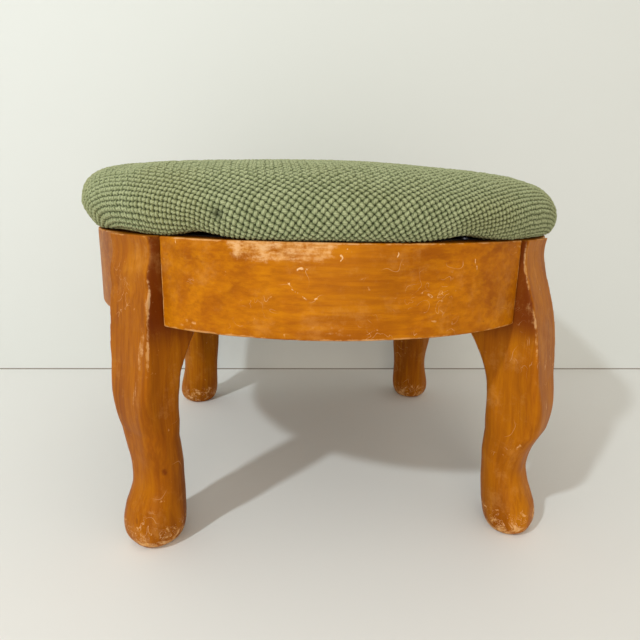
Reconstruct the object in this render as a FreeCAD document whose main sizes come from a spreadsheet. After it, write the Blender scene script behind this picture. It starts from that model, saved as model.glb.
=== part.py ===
import FreeCAD, Part

import math
import os
from types import SimpleNamespace

import Sketcher
from FreeCAD import Placement, Rotation, Vector

# A low round footstool. Four sawn cabriole legs stand on the diagonals. Four bowed aprons join them
# into a ring, with dowels in each joint and a notched block screwed into each corner. A padded round
# seat sits on the ring and is held by a screw up through each block.
#
# The frame is in millimetres: +Z up, the floor at Z = 0 under the middle of the seat, -Y to the front.
# A leg, with its dowels, block and screws, is drawn with +X pointing outwards and then turned about Z.
# An apron is drawn with +X through its middle and turned the same way.

SIZES = [
    # the frame
    ("frame_height", 183.0),    # floor to the top of the legs and aprons
    ("seat_overhang", 6.0),     # how far the seat stands out over the aprons
    ("apron_thick", 19.0),
    ("apron_drop", 48.0),       # height of an apron's face
    ("apron_edge", 0.6),        # chamfer on the lower edges of an apron
    ("leg_board", 38.0),        # thickness of the board that the legs are sawn from
    ("joint_gap", 0.15),        # glue line between a leg and an apron
    # the leg, as level sections: its height or its drop below the top, its reach beyond the aprons, its
    # depth, how much narrower it is than the board, and its corner radius
    ("arris", 0.8),             # corner radius of the post, which stays almost square
    ("top_reach", 2.5),
    ("top_depth", 43.5),
    ("post_drop", 20.0),        # below the top of the frame
    ("post_reach", 3.6),
    ("post_depth", 44.0),
    ("shoulder_drop", 45.0),
    ("shoulder_reach", 11.0),
    ("shoulder_depth", 45.0),
    ("knee_drop", 75.0),
    ("knee_reach", 15.2),
    ("knee_depth", 34.0),
    ("knee_trim", 0.4),
    ("knee_round", 2.5),
    ("calf_reach", 16.2),       # the calf is halfway from the ankle to the knee
    ("calf_depth", 33.2),
    ("calf_trim", 2.5),
    ("calf_round", 8.5),
    ("ankle_height", 46.0),
    ("ankle_reach", 9.6),
    ("ankle_depth", 27.8),
    ("ankle_trim", 4.5),
    ("ankle_round", 12.8),
    ("foot_height", 14.0),
    ("foot_reach", 17.0),
    ("foot_depth", 34.0),
    ("foot_trim", 3.0),
    ("foot_round", 15.0),
    ("toe_height", 4.0),
    ("toe_reach", 16.3),
    ("toe_depth", 31.0),
    ("toe_trim", 6.5),
    ("toe_round", 13.5),
    ("sole_reach", 13.0),
    ("sole_depth", 25.5),
    ("sole_trim", 13.5),
    ("sole_round", 11.0),
    # the dowelled joints
    ("dowel_radius", 4.0),
    ("leg_core", 3.0),          # half the wood left between the ends of two facing dowels
    ("dowel_in_apron", 16.0),
    ("dowel_shift", 2.5),       # inwards from the middle of the apron's end, because the apron bows
    ("dowel_edge", 12.0),       # from an apron's top or bottom edge to a dowel's axis
    ("drill_clearance", 0.05),  # a drilled hole's radius over what it takes
    ("drill_over", 0.6),        # a blind hole's depth over what it takes
    # the corner blocks
    ("block_top_drop", 2.0),    # from the top of the frame to the top of a block
    ("block_height", 26.0),
    ("block_thick", 18.0),      # behind the leg
    ("block_back_half", 18.0),  # half the width of the back face
    ("block_ear", 23.0),        # how far a block reaches past the leg's side
    ("block_ear_thick", 9.0),   # at the end of an ear
    ("block_gap", 0.3),         # glue line round a block
    # the screws
    ("screw_radius", 2.1),
    ("screw_head_radius", 4.0),
    ("screw_head_top", 2.6),    # radius of the face that takes the driver
    ("screw_head_height", 2.4),
    ("screw_point", 4.0),       # length of the tapered point
    ("screw_tip", 0.5),         # radius of its blunt end
    ("leg_screw_bite", 22.0),   # how far a leg screw goes into the leg
    ("leg_screw_inset", 9.0),   # from the side of the leg
    ("leg_screw_up", 8.0),      # above the bottom of the block
    ("seat_screw_bite", 7.0),   # how far a seat screw goes into the board
    ("seat_screw_in", 9.0),     # from the back of the block
    # the seat
    ("seat_radius", 165.0),
    ("seat_thick", 45.0),       # cover's underside to the top of the crown
    ("edge_rise", 15.8),        # cover's underside to the widest line of the edge
    ("edge_round", 20.0),       # radius of the full edge
    ("lip_round", 8.0),         # tighter radius where the cover turns under
    ("cover_thick", 1.6),
    ("hem_width", 28.0),        # from the board's edge to the end of the cover's turned hem
    ("wadding_rise", 4.5),      # cover's underside to the lower rim of the wadding
    ("layer_gap", 0.05),
    ("board_inset", 13.0),      # from the widest line of the seat to the board's edge
    ("board_thick", 12.0),
    ("board_edge", 2.0),        # chamfer on both edges of the board
    ("foam_overhang", 5.0),     # how far the foam stands out past the board
    ("foam_thick", 18.0),
    ("foam_bevel", 10.0),       # cut off its upper edge
    ("cambric_thick", 0.3),
    ("cambric_margin", 7.0),    # how far the dust cover stops short of the board's edge
    ("cambric_hole", 3.0),      # radius round a seat screw
    # the tacks
    ("tack_head_radius", 3.2),
    ("tack_head_thick", 0.8),
    ("tack_shank", 1.4),        # side of the square shank
    ("tack_length", 9.0),
    ("cover_tack_in", 11.0),    # from the board's edge
    ("cambric_tack_clear", 8.0),  # from the inside of the aprons
]
CORNERS = {"front_right": -45.0, "rear_right": 45.0, "rear_left": 135.0, "front_left": -135.0}
SIDES = {"front": -90.0, "right": 0.0, "rear": 90.0, "left": 180.0}
LEGS = 4
HALF_SIDE = 45.0  # degrees from the middle of an apron to the leg at its end
COVER_TACKS = 20
CAMBRIC_TACKS = 12
COVER_TACK_TURN = 0.0
CAMBRIC_TACK_TURN = 15.0  # half a step, so that no tack of the inner ring comes over a leg
CORNER_SHARE = 0.48  # a leg's corner radius stays under this share of the section's width and depth

ROOT, START, END, CENTRE = -1, 1, 2, 3  # the sketch's own axes, and the points of an edge
H_AXIS, V_AXIS = -1, -2


class Size:
    """A length together with the sheet's expression for it, so that one sum gives both."""

    def __init__(self, value, text):
        self.value = value
        self.text = text

    def join(self, other, sign, value):
        text = other.text if isinstance(other, Size) else str(other)
        return Size(value, f"({self.text} {sign} {text})")

    def __add__(self, other):
        return self.join(other, "+", self.value + number(other))

    def __sub__(self, other):
        return self.join(other, "-", self.value - number(other))

    def __mul__(self, other):
        return self.join(other, "*", self.value * number(other))

    def __truediv__(self, other):
        return self.join(other, "/", self.value / number(other))

    def __neg__(self):
        return Size(-self.value, f"(0 - {self.text})")


def number(size):
    return size.value if isinstance(size, Size) else float(size)


def least(first, second):
    return Size(min(first.value, second.value), f"min({first.text}; {second.text})")


ZERO = Size(0.0, "0")


def write_sheet(doc):
    sheet = doc.addObject("Spreadsheet::Sheet", "sizes")
    for row, (name, value) in enumerate(SIZES, start=1):
        sheet.set(f"A{row}", name)
        sheet.set(f"B{row}", str(value))
        sheet.setAlias(f"B{row}", name)
    doc.recompute()
    return SimpleNamespace(**{name: Size(value, f"sizes.{name}") for name, value in SIZES})


doc = FreeCAD.newDocument("footstool")
S = write_sheet(doc)
bodies = []


# Helpers for bodies, sketches and features

def new_body(name, turn=0.0, several=False):
    body = doc.addObject("PartDesign::Body", name)
    body.Label = name
    body.AllowCompound = several
    body.Placement = Placement(Vector(0, 0, 0), Rotation(Vector(0, 0, 1), turn))
    bodies.append(body)
    return body


def origin(body, role):
    return next(o for o in body.Origin.OriginFeatures if o.Role == role)


def bind(thing, name, size):
    """Ties a property to the sheet."""
    thing.setExpression(name, size.text)


def new_sketch(body, name, plane, shift=(None, None, None), turn=0.0, spin=0.0):
    """A sketch on one of the body's own planes, shifted in that plane's x, y and normal, turned about
    the plane's y axis or spun about its normal."""
    sketch = body.newObject("Sketcher::SketchObject", f"{body.Name}_{name}")
    sketch.AttachmentSupport = [(origin(body, plane), "")]
    sketch.MapMode = "FlatFace"
    base = Vector(*(0.0 if s is None else number(s) for s in shift))
    direction = Rotation(Vector(0, 1, 0), turn) * Rotation(Vector(0, 0, 1), spin)
    sketch.AttachmentOffset = Placement(base, direction)
    for axis, size in zip("xyz", shift):
        if size is not None:
            bind(sketch, f"AttachmentOffset.Base.{axis}", size)
    return sketch


def dimension(sketch, kind, *places, size):
    """A driving dimension whose value comes from the sheet."""
    index = sketch.addConstraint(Sketcher.Constraint(kind, *places, number(size)))
    label = f"{kind.lower()}_{index}"
    sketch.renameConstraint(index, label)
    bind(sketch, f"Constraints.{label}", size)


def constrain(sketch, *rules):
    for rule in rules:
        sketch.addConstraint(Sketcher.Constraint(*rule))


def line(sketch, start, end):
    a, b = (Vector(number(p[0]), number(p[1]), 0) for p in (start, end))
    return sketch.addGeometry(Part.LineSegment(a, b), False)


def arc(sketch, centre, radius, first, last):
    """An arc that runs anticlockwise from one angle to another, in degrees."""
    circle = Part.Circle(Vector(number(centre[0]), number(centre[1]), 0), Vector(0, 0, 1), number(radius))
    return sketch.addGeometry(Part.ArcOfCircle(circle, math.radians(first), math.radians(last)), False)


def polygon(sketch, points):
    """A closed outline of straight edges, each corner placed by two dimensions."""
    edges = [line(sketch, a, b) for a, b in zip(points, points[1:] + points[:1])]
    for edge, after in zip(edges, edges[1:] + edges[:1]):
        constrain(sketch, ("Coincident", edge, END, after, START))
    for edge, (x, y) in zip(edges, points):
        place(sketch, edge, START, x, y)
    return edges


def place(sketch, edge, point, x, y):
    """Holds a point of an edge at x, y from the sketch's origin."""
    for kind, along, size in (("DistanceX", V_AXIS, x), ("DistanceY", H_AXIS, y)):
        if number(size) == 0:
            constrain(sketch, ("PointOnObject", edge, point, along))
        else:
            dimension(sketch, kind, ROOT, START, edge, point, size=size)


def circle(sketch, x, y, radius):
    shape = Part.Circle(Vector(number(x), number(y), 0), Vector(0, 0, 1), number(radius))
    edge = sketch.addGeometry(shape, False)
    place(sketch, edge, CENTRE, x, y)
    dimension(sketch, "Radius", edge, size=radius)
    return edge


def square(sketch, x, y, side):
    left, right, low, high = x - side / 2, x + side / 2, y - side / 2, y + side / 2
    return polygon(sketch, [(left, low), (right, low), (right, high), (left, high)])


def feature(body, kind, name, sketch, **values):
    """Adds a feature that a sketch drives. A Size is tied to the sheet, anything else is set."""
    made = body.newObject(f"PartDesign::{kind}", f"{body.Name}_{name}")
    made.Profile = sketch
    for key, value in values.items():
        if isinstance(value, Size):
            bind(made, key, value)
        else:
            setattr(made, key, value)
    doc.recompute()
    return made


def pad(body, name, sketch, length, **values):
    return feature(body, "Pad", name, sketch, Length=length, **values)


def cut(body, kind, name, sketch, **values):
    """A feature that has to take material away."""
    before = body.Shape.Volume
    made = feature(body, kind, name, sketch, **values)
    if not made.Shape.Volume < before - 1e-3:
        raise RuntimeError(f"{made.Name} cuts nothing")
    return made


def pocket(body, name, sketch, length, forwards=False):
    """A pocket runs against the sketch's normal, or along it if forwards."""
    return cut(body, "Pocket", name, sketch, Length=length, Reversed=forwards)


def turned(body, kind, name, sketch, axis="V_Axis"):
    """A revolution or groove of a full turn about an axis of the sketch."""
    values = {"ReferenceAxis": (sketch, [axis]), "Angle": 360.0}
    if kind == "Groove":
        return cut(body, kind, name, sketch, **values)
    return feature(body, kind, name, sketch, **values)


def mirrored(body, name, originals, plane="XZ_Plane"):
    made = body.newObject("PartDesign::Mirrored", f"{body.Name}_{name}")
    made.Originals = originals
    made.MirrorPlane = (origin(body, plane), [""])
    body.Tip = made
    doc.recompute()
    return made


def around(body, name, originals, count):
    """A pattern of equal steps about Z."""
    made = body.newObject("PartDesign::PolarPattern", f"{body.Name}_{name}")
    made.Originals = originals
    made.Axis = (origin(body, "Z_Axis"), [""])
    made.Angle = 360.0
    made.Occurrences = count
    body.Tip = made
    doc.recompute()
    return made


def dress(body, kind, name, base, edges, size):
    """A fillet or chamfer on the edges that a test picks out."""
    names = [f"Edge{i}" for i, edge in enumerate(base.Shape.Edges, start=1) if edges(edge)]
    made = body.newObject(f"PartDesign::{kind}", f"{body.Name}_{name}")
    made.Base = (base, names)
    bind(made, "Radius" if kind == "Fillet" else "Size", size)
    doc.recompute()
    return made


# Places that more than one piece uses

frame_top = S.frame_height
apron_bottom = frame_top - S.apron_drop
apron_radius = S.seat_radius - S.seat_overhang
apron_inside = apron_radius - S.apron_thick
leg_side = S.leg_board / 2
post_inside = apron_radius + S.top_reach - S.top_depth
dowel_out = apron_radius - S.apron_thick / 2 - S.dowel_shift
dowel_heights = [apron_bottom + S.dowel_edge, frame_top - S.dowel_edge]
dowel_in_leg = leg_side - S.leg_core
dowel_hole = S.dowel_radius + S.drill_clearance
block_bottom = frame_top - S.block_top_drop - S.block_height
block_notch = post_inside - S.block_gap
block_back = block_notch - S.block_thick
leg_screw_height = block_bottom + S.leg_screw_up
leg_screw_side = leg_side - S.leg_screw_inset
leg_screw_length = S.block_thick + S.leg_screw_bite
seat_screw_out = block_back + S.seat_screw_in
screw_hole = S.screw_radius + S.drill_clearance
cambric_bottom = frame_top + S.layer_gap
cambric_top = cambric_bottom + S.cambric_thick
cover_tack_head = cambric_top + S.layer_gap
cover_bottom = cover_tack_head + S.tack_head_thick
board_bottom = cover_bottom + S.cover_thick + S.layer_gap
board_top = board_bottom + S.board_thick
board_radius = S.seat_radius - S.board_inset
seat_screw_length = board_bottom - block_bottom + S.seat_screw_bite
foam_bottom = board_top + S.layer_gap
foam_top = foam_bottom + S.foam_thick
foam_radius = board_radius + S.foam_overhang
tack_hole = S.tack_shank + S.drill_clearance * 2
cover_tack_out = board_radius - S.cover_tack_in
cambric_tack_out = apron_inside - S.cambric_tack_clear


# The legs

def section(body, name, height, reach, depth, trim, rounding):
    """One level section of a leg: a rectangle with rounded corners, outer face at its reach."""
    sketch = new_sketch(body, name, "XY_Plane", shift=(None, None, height))
    far = apron_radius + reach
    near = far - depth
    width = S.leg_board - trim
    half = width / 2
    corner = least(rounding, least(width, depth) * CORNER_SHARE)
    x0, x1, y1, r = number(near), number(far), number(half), number(corner)
    corners = [(x1 - r, -y1 + r, -90), (x1 - r, y1 - r, 0), (x0 + r, y1 - r, 90), (x0 + r, -y1 + r, 180)]
    arcs = [arc(sketch, (x, y), r, a, a + 90) for x, y, a in corners]
    sides = [
        line(sketch, (x1, -y1 + r), (x1, y1 - r)),
        line(sketch, (x1 - r, y1), (x0 + r, y1)),
        line(sketch, (x0, y1 - r), (x0, -y1 + r)),
        line(sketch, (x0 + r, -y1), (x1 - r, -y1)),
    ]
    for i, side in enumerate(sides):
        constrain(sketch, ("Tangent", arcs[i], END, side, START))
        constrain(sketch, ("Tangent", side, END, arcs[(i + 1) % 4], START))
    for side, rule in zip(sides, ("Vertical", "Horizontal", "Vertical", "Horizontal")):
        constrain(sketch, (rule, side))
    for other in arcs[1:]:
        constrain(sketch, ("Equal", arcs[0], other))
    dimension(sketch, "Radius", arcs[0], size=corner)
    dimension(sketch, "DistanceX", ROOT, START, sides[0], START, size=far)
    dimension(sketch, "DistanceX", ROOT, START, sides[2], START, size=near)
    dimension(sketch, "DistanceY", ROOT, START, sides[1], START, size=half)
    dimension(sketch, "DistanceY", sides[3], START, ROOT, START, size=half)
    return sketch


def make_leg(name, turn):
    body = new_body(f"leg_{name}", turn)
    knee_height = frame_top - S.knee_drop
    calf_height = (S.ankle_height + knee_height) / 2
    shoulder_height = frame_top - S.shoulder_drop
    sections = [
        section(body, "sole", ZERO, S.sole_reach, S.sole_depth, S.sole_trim, S.sole_round),
        section(body, "toe", S.toe_height, S.toe_reach, S.toe_depth, S.toe_trim, S.toe_round),
        section(body, "foot", S.foot_height, S.foot_reach, S.foot_depth, S.foot_trim, S.foot_round),
        section(body, "ankle", S.ankle_height, S.ankle_reach, S.ankle_depth, S.ankle_trim, S.ankle_round),
        section(body, "calf", calf_height, S.calf_reach, S.calf_depth, S.calf_trim, S.calf_round),
        section(body, "knee", knee_height, S.knee_reach, S.knee_depth, S.knee_trim, S.knee_round),
        section(body, "shoulder", shoulder_height, S.shoulder_reach, S.shoulder_depth, ZERO, S.arris),
        section(body, "post", frame_top - S.post_drop, S.post_reach, S.post_depth, ZERO, S.arris),
        section(body, "top", frame_top, S.top_reach, S.top_depth, ZERO, S.arris),
    ]
    doc.recompute()
    feature(body, "AdditiveLoft", "wood", sections[0], Sections=sections[1:], Ruled=False)
    plane_to_board(body)

    # blind dowel holes in both side faces
    holes = new_sketch(body, "dowel_holes", "XZ_Plane", shift=(None, None, leg_side + S.joint_gap))
    for height in dowel_heights:
        circle(holes, dowel_out, height, dowel_hole)
    drilled = pocket(body, "dowel_drilling", holes, S.joint_gap + dowel_in_leg + S.drill_over)
    mirrored(body, "dowel_drilling_far", [drilled])

    # pilot holes for the block's screws, from the inner face
    pilots = new_sketch(body, "pilot_holes", "YZ_Plane", shift=(None, None, block_back))
    for side in (leg_screw_side, -leg_screw_side):
        circle(pilots, side, leg_screw_height, screw_hole)
    pocket(body, "pilots", pilots, leg_screw_length + S.drill_over, forwards=True)
    return body


def plane_to_board(body):
    """A smooth loft can swell past its sections. The leg is sawn from a board, so what stands out past
    the board's two faces by half the glue line comes off. At the usual sizes nothing does."""
    level = (None, None, leg_side + S.joint_gap / 2)
    waste = new_sketch(body, "waste", "XZ_Plane", shift=level)
    far = apron_radius + S.leg_board
    polygon(waste, [(0, 0), (far, 0), (far, frame_top), (0, frame_top)])
    planed = feature(body, "Pocket", "planing", waste, Length=S.leg_board, Reversed=True)
    mirrored(body, "planing_far", [planed])


# The aprons

def make_apron(name, turn):
    body = new_body(f"apron_{name}", turn)
    sketch = new_sketch(body, "plan", "XY_Plane", shift=(None, None, apron_bottom))
    away = leg_side + S.joint_gap
    radii = (apron_radius, apron_inside)
    ends = [HALF_SIDE - math.degrees(math.asin(number(away) / number(r))) for r in radii]
    outer, inner = (arc(sketch, (0, 0), r, -end, end) for r, end in zip(radii, ends))
    corners = [
        [(number(r) * math.cos(math.radians(a)), number(r) * math.sin(math.radians(a))) for a in (-end, end)]
        for r, end in zip(radii, ends)
    ]
    low = line(sketch, corners[1][0], corners[0][0])
    high = line(sketch, corners[0][1], corners[1][1])
    constrain(
        sketch,
        ("Coincident", outer, CENTRE, ROOT, START),
        ("Coincident", inner, CENTRE, ROOT, START),
        ("Coincident", low, START, inner, START),
        ("Coincident", low, END, outer, START),
        ("Coincident", high, START, outer, END),
        ("Coincident", high, END, inner, END),
        ("Angle", H_AXIS, low, math.radians(-HALF_SIDE)),
        ("Angle", H_AXIS, high, math.radians(HALF_SIDE - 180.0)),
    )
    dimension(sketch, "Radius", outer, size=apron_radius)
    dimension(sketch, "Radius", inner, size=apron_inside)
    dimension(sketch, "Distance", ROOT, START, low, size=away)
    dimension(sketch, "Distance", ROOT, START, high, size=away)
    board = pad(body, "board", sketch, S.apron_drop)
    dress(body, "Chamfer", "edge", board, low_and_bowed, S.apron_edge)

    # blind dowel holes in both ends, square to the leg's side face
    holes = new_sketch(body, "dowel_holes", "XZ_Plane", turn=HALF_SIDE)
    for height in dowel_heights:
        circle(holes, dowel_out, height, dowel_hole)
    depth = leg_side + S.dowel_in_apron + S.drill_over
    drilled = pocket(body, "dowel_drilling", holes, depth, forwards=True)
    mirrored(body, "dowel_drilling_far", [drilled])
    return body


def low_and_bowed(edge):
    """Whether an edge is one of the two long arcs under an apron."""
    middle = (number(apron_bottom) + number(frame_top)) / 2
    return isinstance(edge.Curve, Part.Circle) and edge.BoundBox.ZMax < middle


def make_dowels(name, turn):
    body = new_body(f"dowels_{name}", turn, several=True)
    sketch = new_sketch(body, "ends", "XZ_Plane", shift=(None, None, S.leg_core))
    for height in dowel_heights:
        circle(sketch, dowel_out, height, S.dowel_radius)
    pins = pad(body, "pins", sketch, dowel_in_leg + S.dowel_in_apron)
    mirrored(body, "far_pins", [pins])
    return body


# The corner blocks and screws

def make_block(name, turn):
    """A block notched round the post. Half is drawn, with its ear against an apron, and mirrored."""
    body = new_body(f"corner_block_{name}", turn)
    sketch = new_sketch(body, "half_plan", "XY_Plane", shift=(None, None, block_bottom))
    seat = apron_inside - S.block_gap
    notch = leg_side + S.block_gap
    ear = leg_side + S.block_ear
    inner_angle, outer_angle = (math.degrees(math.asin(number(y) / number(seat))) for y in (notch, ear))
    ear_out, notch_out = (number(seat) * math.cos(math.radians(a)) for a in (outer_angle, inner_angle))
    ear_in = ear_out - number(S.block_ear_thick)
    face = arc(sketch, (0, 0), seat, inner_angle, outer_angle)
    points = [
        (ear_out, ear),
        (ear_in, ear),
        (block_back, S.block_back_half),
        (block_back, 0),
        (block_notch, 0),
        (block_notch, notch),
        (notch_out, notch),
    ]
    edges = [line(sketch, a, b) for a, b in zip(points, points[1:])]
    for edge, after in zip(edges, edges[1:]):
        constrain(sketch, ("Coincident", edge, END, after, START))
    constrain(
        sketch,
        ("Coincident", face, CENTRE, ROOT, START),
        ("Coincident", face, END, edges[0], START),
        ("Coincident", edges[-1], END, face, START),
        ("Horizontal", edges[0]),
        ("Horizontal", edges[-1]),
    )
    dimension(sketch, "Radius", face, size=seat)
    dimension(sketch, "DistanceX", edges[0], END, edges[0], START, size=S.block_ear_thick)
    dimension(sketch, "DistanceY", ROOT, START, edges[0], START, size=ear)
    place(sketch, edges[2], START, block_back, S.block_back_half)
    place(sketch, edges[3], START, block_back, 0)
    place(sketch, edges[4], START, block_notch, 0)
    place(sketch, edges[5], START, block_notch, notch)
    half = pad(body, "half", sketch, S.block_height)
    mirrored(body, "whole", [half])

    holes = new_sketch(body, "leg_screw_holes", "YZ_Plane", shift=(None, None, block_back))
    for side in (leg_screw_side, -leg_screw_side):
        circle(holes, side, leg_screw_height, screw_hole)
    pocket(body, "leg_screw_drilling", holes, S.block_thick, forwards=True)
    hole = new_sketch(body, "seat_screw_hole", "XY_Plane", shift=(None, None, block_bottom))
    circle(hole, seat_screw_out, 0, screw_hole)
    pocket(body, "seat_screw_drilling", hole, S.block_height, forwards=True)
    return body


def screw_profile(sketch, length, upright):
    """Half the section of a pan-headed wood screw, its head's underside at the sketch's origin. It lies
    along the sketch's x axis, or along y if upright."""
    points = [
        (-S.screw_head_height, ZERO),
        (-S.screw_head_height, S.screw_head_top),
        (ZERO, S.screw_head_radius),
        (ZERO, S.screw_radius),
        (length - S.screw_point, S.screw_radius),
        (length, S.screw_tip),
        (length, ZERO),
    ]
    polygon(sketch, [(y, x) for x, y in points] if upright else points)


def make_leg_screws(name, turn):
    body = new_body(f"block_screws_{name}", turn, several=True)
    sketch = new_sketch(body, "profile", "XZ_Plane", shift=(block_back, leg_screw_height, leg_screw_side))
    screw_profile(sketch, leg_screw_length, upright=False)
    screw = turned(body, "Revolution", "screw", sketch, axis="H_Axis")
    mirrored(body, "far_screw", [screw])
    return body


def make_seat_screw(name, turn):
    body = new_body(f"seat_screw_{name}", turn)
    sketch = new_sketch(body, "profile", "XZ_Plane", shift=(seat_screw_out, block_bottom, None))
    screw_profile(sketch, seat_screw_length, upright=True)
    turned(body, "Revolution", "screw", sketch)
    return body


# The seat

def seat_section(body, name, inset, floor, lip):
    """Half the section of the padded seat, inside its outer skin by an inset: a flat underside, a full
    round edge and a long crown. With a lip the edge turns under on a tighter arc, and without one it
    meets the flat underside at an angle."""
    sketch = new_sketch(body, name, "XZ_Plane")
    edge_out = S.seat_radius - S.edge_round
    edge_up = cover_bottom + S.edge_rise
    edge_radius = S.edge_round - inset
    crown_up = cover_bottom + S.seat_thick - inset
    ex, ey, er = number(edge_out), number(edge_up), number(edge_radius)
    top, bottom = number(crown_up), number(floor)
    # the crown's centre lies on the axis, and its arc meets the edge's arc with a common tangent
    fall = top - ey - er
    crown = (ex * ex + (top - ey) ** 2 - er * er) / (2 * fall)
    lean = math.degrees(math.asin(ex / (crown - er)))
    if lip:
        lip_radius = S.lip_round - inset
        lr = number(lip_radius)
        under = math.degrees(math.asin((ey - bottom - lr) / (er - lr)))
        lip_x = ex + (er - lr) * math.cos(math.radians(under))
    else:
        under = math.degrees(math.asin((ey - bottom) / er))
        lip_x = ex + er * math.cos(math.radians(under))
    base = line(sketch, (0, bottom), (lip_x, bottom))
    edge = arc(sketch, (ex, ey), er, -under, 90 - lean)
    dome = arc(sketch, (0, top - crown), crown, 90 - lean, 90)
    axis = line(sketch, (0, top), (0, bottom))
    if lip:
        turn = arc(sketch, (lip_x, bottom + lr), lr, -90, -under)
        constrain(sketch, ("Tangent", base, END, turn, START), ("Tangent", turn, END, edge, START))
        dimension(sketch, "Radius", turn, size=lip_radius)
    else:
        constrain(sketch, ("Coincident", base, END, edge, START))
    constrain(
        sketch,
        ("Tangent", edge, END, dome, START),
        ("Coincident", dome, END, axis, START),
        ("Coincident", axis, END, base, START),
        ("PointOnObject", dome, CENTRE, V_AXIS),
        ("PointOnObject", axis, START, V_AXIS),
        ("PointOnObject", axis, END, V_AXIS),
        ("Horizontal", base),
    )
    dimension(sketch, "Radius", edge, size=edge_radius)
    dimension(sketch, "DistanceX", ROOT, START, edge, CENTRE, size=edge_out)
    dimension(sketch, "DistanceY", ROOT, START, edge, CENTRE, size=edge_up)
    dimension(sketch, "DistanceY", ROOT, START, axis, START, size=crown_up)
    dimension(sketch, "DistanceY", ROOT, START, base, START, size=floor)
    return sketch


def tack_holes(body, level, depth):
    """Square holes for both rings of tacks, up from a level."""
    for name, out, turn, count in (
        ("cover", cover_tack_out, COVER_TACK_TURN, COVER_TACKS),
        ("cambric", cambric_tack_out, CAMBRIC_TACK_TURN, CAMBRIC_TACKS),
    ):
        sketch = new_sketch(body, f"{name}_tack_hole", "XY_Plane", shift=(None, None, level), spin=turn)
        square(sketch, out, ZERO, tack_hole)
        hole = pocket(body, f"{name}_tack_pocket", sketch, depth, forwards=True)
        around(body, f"{name}_tack_pockets", [hole], count)


def make_board():
    body = new_body("seat_board", turn=45.0)
    disc = new_sketch(body, "disc", "XY_Plane", shift=(None, None, board_bottom))
    circle(disc, 0, 0, board_radius)
    board = pad(body, "board", disc, S.board_thick)
    dress(body, "Chamfer", "edges", board, lambda e: isinstance(e.Curve, Part.Circle), S.board_edge)
    pilot = new_sketch(body, "pilot", "XY_Plane", shift=(None, None, board_bottom))
    circle(pilot, seat_screw_out, 0, screw_hole)
    hole = pocket(body, "pilot_hole", pilot, S.seat_screw_bite + S.drill_over, forwards=True)
    around(body, "pilot_holes", [hole], LEGS)
    tack_holes(body, board_bottom, S.tack_length)
    return body


def bevelled_disc(body, name, floor, gap):
    """Half the section of the foam, or of the space that it and the board fill inside the wadding."""
    sketch = new_sketch(body, name, "XZ_Plane")
    out = foam_radius + gap
    top = foam_top + gap
    bevel = S.foam_bevel
    polygon(sketch, [(0, floor), (out, floor), (out, top - bevel), (out - bevel, top), (0, top)])
    return sketch


def make_foam():
    body = new_body("seat_foam")
    turned(body, "Revolution", "pad", bevelled_disc(body, "section", foam_bottom, ZERO))
    return body


def make_wadding():
    """Layers of cotton that make the crown over the flat foam and soften its edge and the board's."""
    body = new_body("seat_wadding")
    rim = cover_bottom + S.wadding_rise
    outer = S.cover_thick + S.layer_gap
    turned(body, "Revolution", "dome", seat_section(body, "outside", outer, rim, lip=False))
    turned(body, "Groove", "hollow", bevelled_disc(body, "inside", rim, S.layer_gap))
    return body


def make_cover():
    body = new_body("seat_cover", turn=45.0)
    inset = S.cover_thick
    turned(body, "Revolution", "dome", seat_section(body, "outside", ZERO, cover_bottom, lip=True))
    turned(body, "Groove", "hollow", seat_section(body, "inside", inset, cover_bottom + inset, lip=True))
    hem = new_sketch(body, "hem", "XY_Plane", shift=(None, None, cover_bottom))
    circle(hem, 0, 0, board_radius - S.hem_width)
    pocket(body, "hem_opening", hem, S.cover_thick, forwards=True)
    tack_holes(body, cover_bottom, S.cover_thick)
    return body


def make_cambric():
    """The dust cover: a disc of thin black cloth, clamped between the frame and the seat."""
    body = new_body("dust_cover", turn=45.0)
    disc = new_sketch(body, "disc", "XY_Plane", shift=(None, None, cambric_bottom))
    circle(disc, 0, 0, board_radius - S.cambric_margin)
    pad(body, "cloth", disc, S.cambric_thick)
    screw = new_sketch(body, "screw_hole", "XY_Plane", shift=(None, None, cambric_bottom))
    circle(screw, seat_screw_out, 0, S.cambric_hole)
    screw_pocket = pocket(body, "screw_pocket", screw, S.cambric_thick, forwards=True)
    around(body, "screw_holes", [screw_pocket], LEGS)
    level = (None, None, cambric_bottom)
    tack = new_sketch(body, "tack_hole", "XY_Plane", shift=level, spin=CAMBRIC_TACK_TURN)
    square(tack, cambric_tack_out, ZERO, tack_hole)
    tack_pocket = pocket(body, "tack_pocket", tack, S.cambric_thick, forwards=True)
    around(body, "tack_holes", [tack_pocket], CAMBRIC_TACKS)
    return body


def make_tacks(name, out, head_level, first, count):
    """A ring of upholstery tacks: a thin round head under a square shank."""
    body = new_body(name, turn=45.0, several=True)
    disc = new_sketch(body, "head", "XY_Plane", shift=(None, None, head_level), spin=first)
    circle(disc, out, 0, S.tack_head_radius)
    head = pad(body, "heads", disc, S.tack_head_thick)
    shank_level = (None, None, head_level + S.tack_head_thick)
    foot = new_sketch(body, "shank", "XY_Plane", shift=shank_level, spin=first)
    square(foot, out, ZERO, S.tack_shank)
    shank = pad(body, "shanks", foot, S.tack_length)
    around(body, "ring", [head, shank], count)
    return body


# Build, check and write

for corner, angle in CORNERS.items():
    make_leg(corner, angle)
for side, angle in SIDES.items():
    make_apron(side, angle)
for corner, angle in CORNERS.items():
    make_dowels(corner, angle)
    make_block(corner, angle)
    make_leg_screws(corner, angle)
    make_seat_screw(corner, angle)
make_board()
make_foam()
make_wadding()
make_cover()
make_tacks("cover_tacks", cover_tack_out, cover_tack_head, COVER_TACK_TURN, COVER_TACKS)
make_cambric()
dust_tack_head = cambric_bottom - S.tack_head_thick
make_tacks("dust_cover_tacks", cambric_tack_out, dust_tack_head, CAMBRIC_TACK_TURN, CAMBRIC_TACKS)
doc.recompute()

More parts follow.
